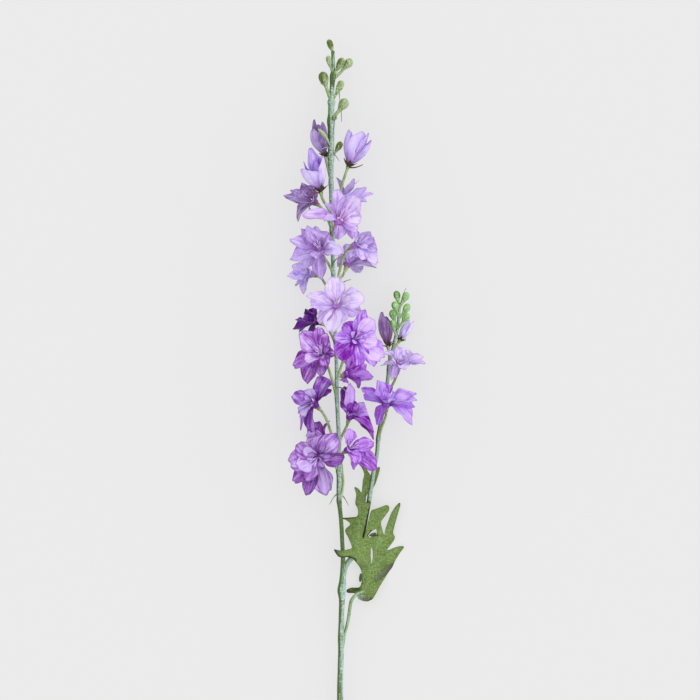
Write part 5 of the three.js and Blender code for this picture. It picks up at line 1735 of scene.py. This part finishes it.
                "violet", "#BC82E4", "#D2ACF4", "#8830AA", "#6A1C88", "#72309A", "#6C2488", 0.5, 0.45,
                Slot.MID,
            ),
            cut=ROUND,
        ),
        Bloom(
            "bloom_lower_left", (-29, 16.8, 22), (-34.8, 22.8, 28), -28, layer=2, ring=3,
            petals=(
                (167, 17, 2, 14, 0.55), (85, 9, 1, 9, 0.8), (50, 29, 0, 12, 0.5),
                (240, 14, 5, 13, 1.3, 0.15), (254, 26, -6, 8, 0.3), (274, 30, 0, 10, 0.2),
                (150, 12, -8, 11, 0.8), (229, 15, -12, 8), (28, 19, -2, 9, 0.2),
            ),
            silk=PetalSilk(
                "greyed violet", "#9E6CC2", "#D2C0F2", "#5E1C7A", "#602680", "#683E88", "#60207E", 0.65,
                0.55, Slot.DEEP,
            ),
            cut=ROUND,
        ),
        Bloom(
            "bloom_lower_right", (-4.9, 6.6, 22), (-3, 14, 27.5), -12, ring=5,
            petals=(
                (136, 22, -9, 8, 0), (108, 27, 3, 9, 0.1), (90, 24, 5, 9, 1.05), (45, 10, 5, 5),
                (18, 14.7, 4, 8, 0.8), (351, 18, 1, 7, 0.8), (323, 17.6, -3, 6, 0.7),
                (309, 31.5, -6, 11, -0.05), (320, 25, -3, 9, 0.5), (40, 11, -11, 11),
            ),
            silk=PetalSilk(
                "deep violet", "#A65CCC", "#D4B2F0", "#520E66", "#541678", "#622884", "#520E66", 0.6, 0.5,
                Slot.DEEP,
            ),
            cut=POINTED,
        ),
        Bloom(
            "bloom_bottom_back", (-22, -9.6, 15), (-27, -5.6, 12), -32, layer=-8, ring=3,
            petals=(
                (100, 11, 1, 5, 0), (52, 13.6, 2, 8, 0.1), (175, 12, 0, 9, 0.8), (205, 15, -3, 9, 0.8),
                (140, 12, -14, 12, 0.1), (240, 13, -14, 12, 0.2),
            ),
            silk=PetalSilk(
                "shaded violet", "#A070C0", "#CCB2E8", "#662A7C", "#4E1866", "#562468", "#501862", 0.6,
                0.5, Slot.DEEP,
            ),
            cut=ROUND,
        ),
        Bloom(
            "bloom_bottom_front", (-27.6, -20.8, 33.5), (-30.8, -23.6, 41.5), -34, layer=34, ring=5,
            petals=(
                (186, 22.5, -1, 15, 0.6), (226, 25, -3, 10, 0.3), (256, 29.5, -3, 11, 0.35),
                (287, 30, -1, 17, 0.75), (4, 25.5, -1, 11, 0.4), (47, 27, 1, 14, 0.6),
                (80, 20, 5, 10, 0.8), (136, 19.5, 4, 12, 0.4), (128, 13, 9, 9, 0.9),
                (203, 17, 6, 12, 0.9), (251, 18, 5, 10, 0.6), (14, 13, 8, 6, 0.5),
            ),
            silk=PetalSilk(
                "frayed violet", "#A072C0", "#D0BAEC", "#60207C", "#6C2E8A", "#704680", "#642680", 0.65,
                0.7, Slot.DEEP,
            ),
            cut=BROAD,
        ),
        Bloom(
            "bloom_bottom_right", (-7.6, -18, 27), (-2.6, -14.6, 34), -58, layer=20, aside=7, ring=4,
            petals=(
                (100, 16, 3, 13, 0.9), (10, 18, 0, 10, 0.7), (294, 13.5, 4, 12, 0.6),
                (321, 27, -6, 12, 0.3), (275, 18.5, -7, 8, 0.2), (350, 11, -13, 11),
            ),
            silk=PetalSilk(
                "rich violet", "#B07ED6", "#D4AEF6", "#6E1C8A", "#6A2090", "#70309A", "#6C2488", 0.6, 0.5,
                Slot.DEEP,
            ),
            cut=ROUND,
        ),
        Bloom(
            "bloom_branch_top", (35, 47.7, 22), (36.6, 55, 26.5), 18, True, ring=3,
            petals=(
                (194, 16, 0, 9, 0.5), (158, 14.7, 2, 9, 0.7), (106, 11.7, 3, 10, 0.8),
                (40, 10, 5, 8, 0.8), (5, 19, 2, 7, 0.8), (355, 21, -1, 9, 0.6), (300, 8, 4, 9),
                (249, 20.5, -5, 7, 0.3), (60, 12, -9, 11),
            ),
            silk=PetalSilk(
                "branch lilac", "#C6B2E0", "#DED2F4", "#906EAF", "#8A62A8", "#8C6EAC", "#9068A8", 0.5,
            ),
            cut=POINTED,
        ),
        Bloom(
            "bloom_branch_low", (25.4, 15.7, 24), (25.4, 23.6, 29), -8, True, ring=5,
            petals=(
                (103, 20, 3, 15, 0.5, 0.2), (162, 28, -2, 11, 0.3), (178, 25, 2, 11),
                (16, 26, 0, 11, 0.6), (358, 25, 3, 11, 0.8), (345, 24, 1, 10, 0.5), (45, 9, 7, 11, 0.8),
                (317, 30, -5, 11, 0.45, 0.1), (253, 23, -4, 8, 0.3, 0.2),
            ),
            silk=PetalSilk(
                "branch violet", "#B48EDE", "#CEB4EE", "#8E52B6", "#7A3CA0", "#7E4AA6", "#7A3C9C", 0.6,
                0.45, Slot.DEEP,
            ),
            cut=POINTED,
        ),
        Bud(
            "bud_half_open", (-27, 189.6, 32), (-33.4, 222, 36), 170, layer=20, width=20,
            petals=(
                (28, 0.64, 12.5, 7.5, 16.5, 0.75), (-60, 1.1, 2, 5.5, 17, 0.4),
                (150, 0.84, 8.4, 6.8, 14.5, 0.85), (200, 0.8, 4, 5, 9, -0.1), (-15, 0.8, 9, 6, 8, -0.1),
            ),
            hooks=((-8, 2), (1.5, 10)),
            cut=PetalCut(0.3, 0.52, 0.36, 0.3, 2.2, 0.3, 0.3, 0.015, 0.01, 0.03, 0.03, 0.1),
            silk=PetalSilk(
                "half-open bud", "#C2B1E5", "#D8CCF5", "#9468BA", "#8E62B4", "#9474BE", "#9468BA", 0.3,
            ),
        ),
        Bud(
            "bud_top_left", (-23.6, 218.4, 23), (-30.4, 246.4, 25), 196, width=14,
            petals=(
                (38, 0.82, 5.4, 7.2, 12.5, 0.8), (136, 0.94, 6.4, 6.4, 14, 0.1),
                (12, 1.07, 1.6, 6.4, 9, 0), (260, 0.9, 2, 4, 9, 0.5),
            ),
            hooks=((-3.6, 1), (3.4, 1.8)),
            silk=PetalSilk(
                "dusky bud", "#9680B2", "#B4A2D0", "#685280", "#6A5080", "#705A8A", "#685280", 0.4, 0.45,
            ),
        ),
        Bud(
            "bud_top_right", (-4.9, 210.2, 27), (5.4, 237.5, 30), 160, width=18,
            petals=(
                (20, 0.95, 9.5, 7.5, 12, 0.3), (112, 1.02, 3.5, 6.5, 18, 0.9),
                (148, 1.04, 7, 6.5, 12, 0.35), (172, 0.9, 10.2, 8.4, 15, 0.8), (262, 0.98, 3, 5, 14, 0),
            ),
            hooks=((-3.4, 6), (10.5, 6)),
            silk=PetalSilk(
                "pale bud", "#C2B0E6", "#D0C2F0", "#9474B8", "#8E6CB2", "#9478BC", "#9474B8", 0.3,
            ),
        ),
        Bud(
            "bud_branch_left", (27, 66.7, 18), (24.2, 93, 17), 53, True, width=11,
            petals=(
                (20, 1.04, 2.5, 6, 12, 0.6), (150, 0.96, 4, 5.5, 12, 0.35), (85, 0.85, 1.5, 4, 9, 0.5),
                (265, 0.9, 1, 4, 10, 0.1),
            ),
            silk=PetalSilk(
                "faded bud", "#9478A8", "#AC94C4", "#664068", "#5E3C64", "#6A4C78", "#5E3450", 0.7, 0.5,
            ),
        ),
        Bud(
            "bud_branch_right", (36.6, 71.5, 14), (46, 87.5, 12), 60, True, width=10,
            petals=(
                (20, 0.95, 1.5, 4, 8, 0.5), (160, 1.02, 2, 4, 8, 0.8), (90, 0.85, 1.5, 3.5, 7, 0.6),
            ),
            silk=PetalSilk(
                "light bud", "#C4B6E4", "#DED6F6", "#9C88C4", "#9880BC", "#9884C0", "#9C88C4", 0.3,
            ),
        ),
    )

    def build(self) -> None:
        """Makes the stems, the leaf and every head."""
        lines = [np.array(self.STEM, float), np.array(self.BRANCH, float)]
        crowd = Crowd(self.HEADS, Rods.along([*lines, *[head.stalk(3) for head in self.HEADS]]))
        Stems().build(self.HEADS)
        Leaf().build()
        for seed, head in enumerate(self.HEADS):
            head.build(crowd, seed)


# Studio -----------------------------------------------------------------------------------------


@dataclass
class Studio:
    """A pale floor under soft light, seen straight from above."""

    view: tuple[float, float, float] = (-3.6, 63.2, 2225.0)  # place of the camera
    lens: float = 141.4
    sensor: float = 36.0
    floor: str = "#959595"
    glow: float = 0.475  # light that the floor gives of itself
    half: float = 3000.0  # half the width of the floor
    cells: int = 8  # of the floor's mesh to a side
    sky: float = 0.85  # strength of the light from all round
    fill: float = 1.3  # strength of the lamp
    spread: float = 40.0  # how wide the lamp looks, in degrees
    tilt: tuple[float, float] = (-22.0, 28.0)  # its turn about x and about y, in degrees

    def floor_sheet(self) -> None:
        """The floor, a matt light table six metres wide, which keeps shadows faint."""
        side = np.linspace(-self.half, self.half, self.cells + 1)
        x, y = np.meshgrid(side, side)
        corners = np.arange(x.size).reshape(x.shape)
        points = np.column_stack([x.ravel(), y.ravel(), np.zeros(x.size)]) * MM
        mesh = bpy.data.meshes.new("floor")
        mesh.from_pydata(points.tolist(), [], strip(corners).tolist())
        material, tree, shader = blank("matt opal acrylic, floor")
        inputs = {
            "Base Color": colour(self.floor),
            "Emission Color": (1, 1, 1, 1),
            "Emission Strength": self.glow,
            "Roughness": 1.0,
            "Specular IOR Level": 0.0,
        }
        feed(tree, shader, inputs)
        mesh.materials.append(material)
        sheet = bpy.data.objects.new("floor", mesh)
        bpy.context.scene.collection.objects.link(sheet)

    def light(self) -> None:
        """Even light from all round, and a wide soft lamp from the upper right as fill.

        The fill casts no shadow, as light bounced off a white tent on every side does.
        """
        world = bpy.data.worlds.new("studio")
        world.use_nodes = True
        back = world.node_tree.nodes["Background"]
        back.inputs["Color"].default_value = (1, 1, 1, 1)
        back.inputs["Strength"].default_value = self.sky
        bpy.context.scene.world = world
        lamp = bpy.data.lights.new("soft fill", "SUN")
        lamp.angle = math.radians(self.spread)
        lamp.energy = self.fill
        lamp.use_shadow = False
        fill = bpy.data.objects.new("soft fill", lamp)
        fill.rotation_euler = (*map(math.radians, self.tilt), 0)
        bpy.context.scene.collection.objects.link(fill)

    def camera(self) -> None:
        """The camera, which looks straight down with the tip of the spike upwards."""
        data = bpy.data.cameras.new("camera")
        data.lens = self.lens
        data.sensor_width = self.sensor
        camera = bpy.data.objects.new("camera", data)
        camera.location = tuple(v * MM for v in self.view)
        bpy.context.scene.collection.objects.link(camera)
        bpy.context.scene.camera = camera

    def build(self) -> None:
        """Sets up floor, light, camera and plain colour display."""
        self.floor_sheet()
        self.light()
        self.camera()
        bpy.context.scene.view_settings.view_transform = "Standard"


def main() -> None:
    """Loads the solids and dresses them."""
    logging.basicConfig(level=logging.INFO, format="%(message)s", force=True)
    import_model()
    Studio().build()
    Spike().build()
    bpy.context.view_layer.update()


if __name__ == "__main__":
    main()
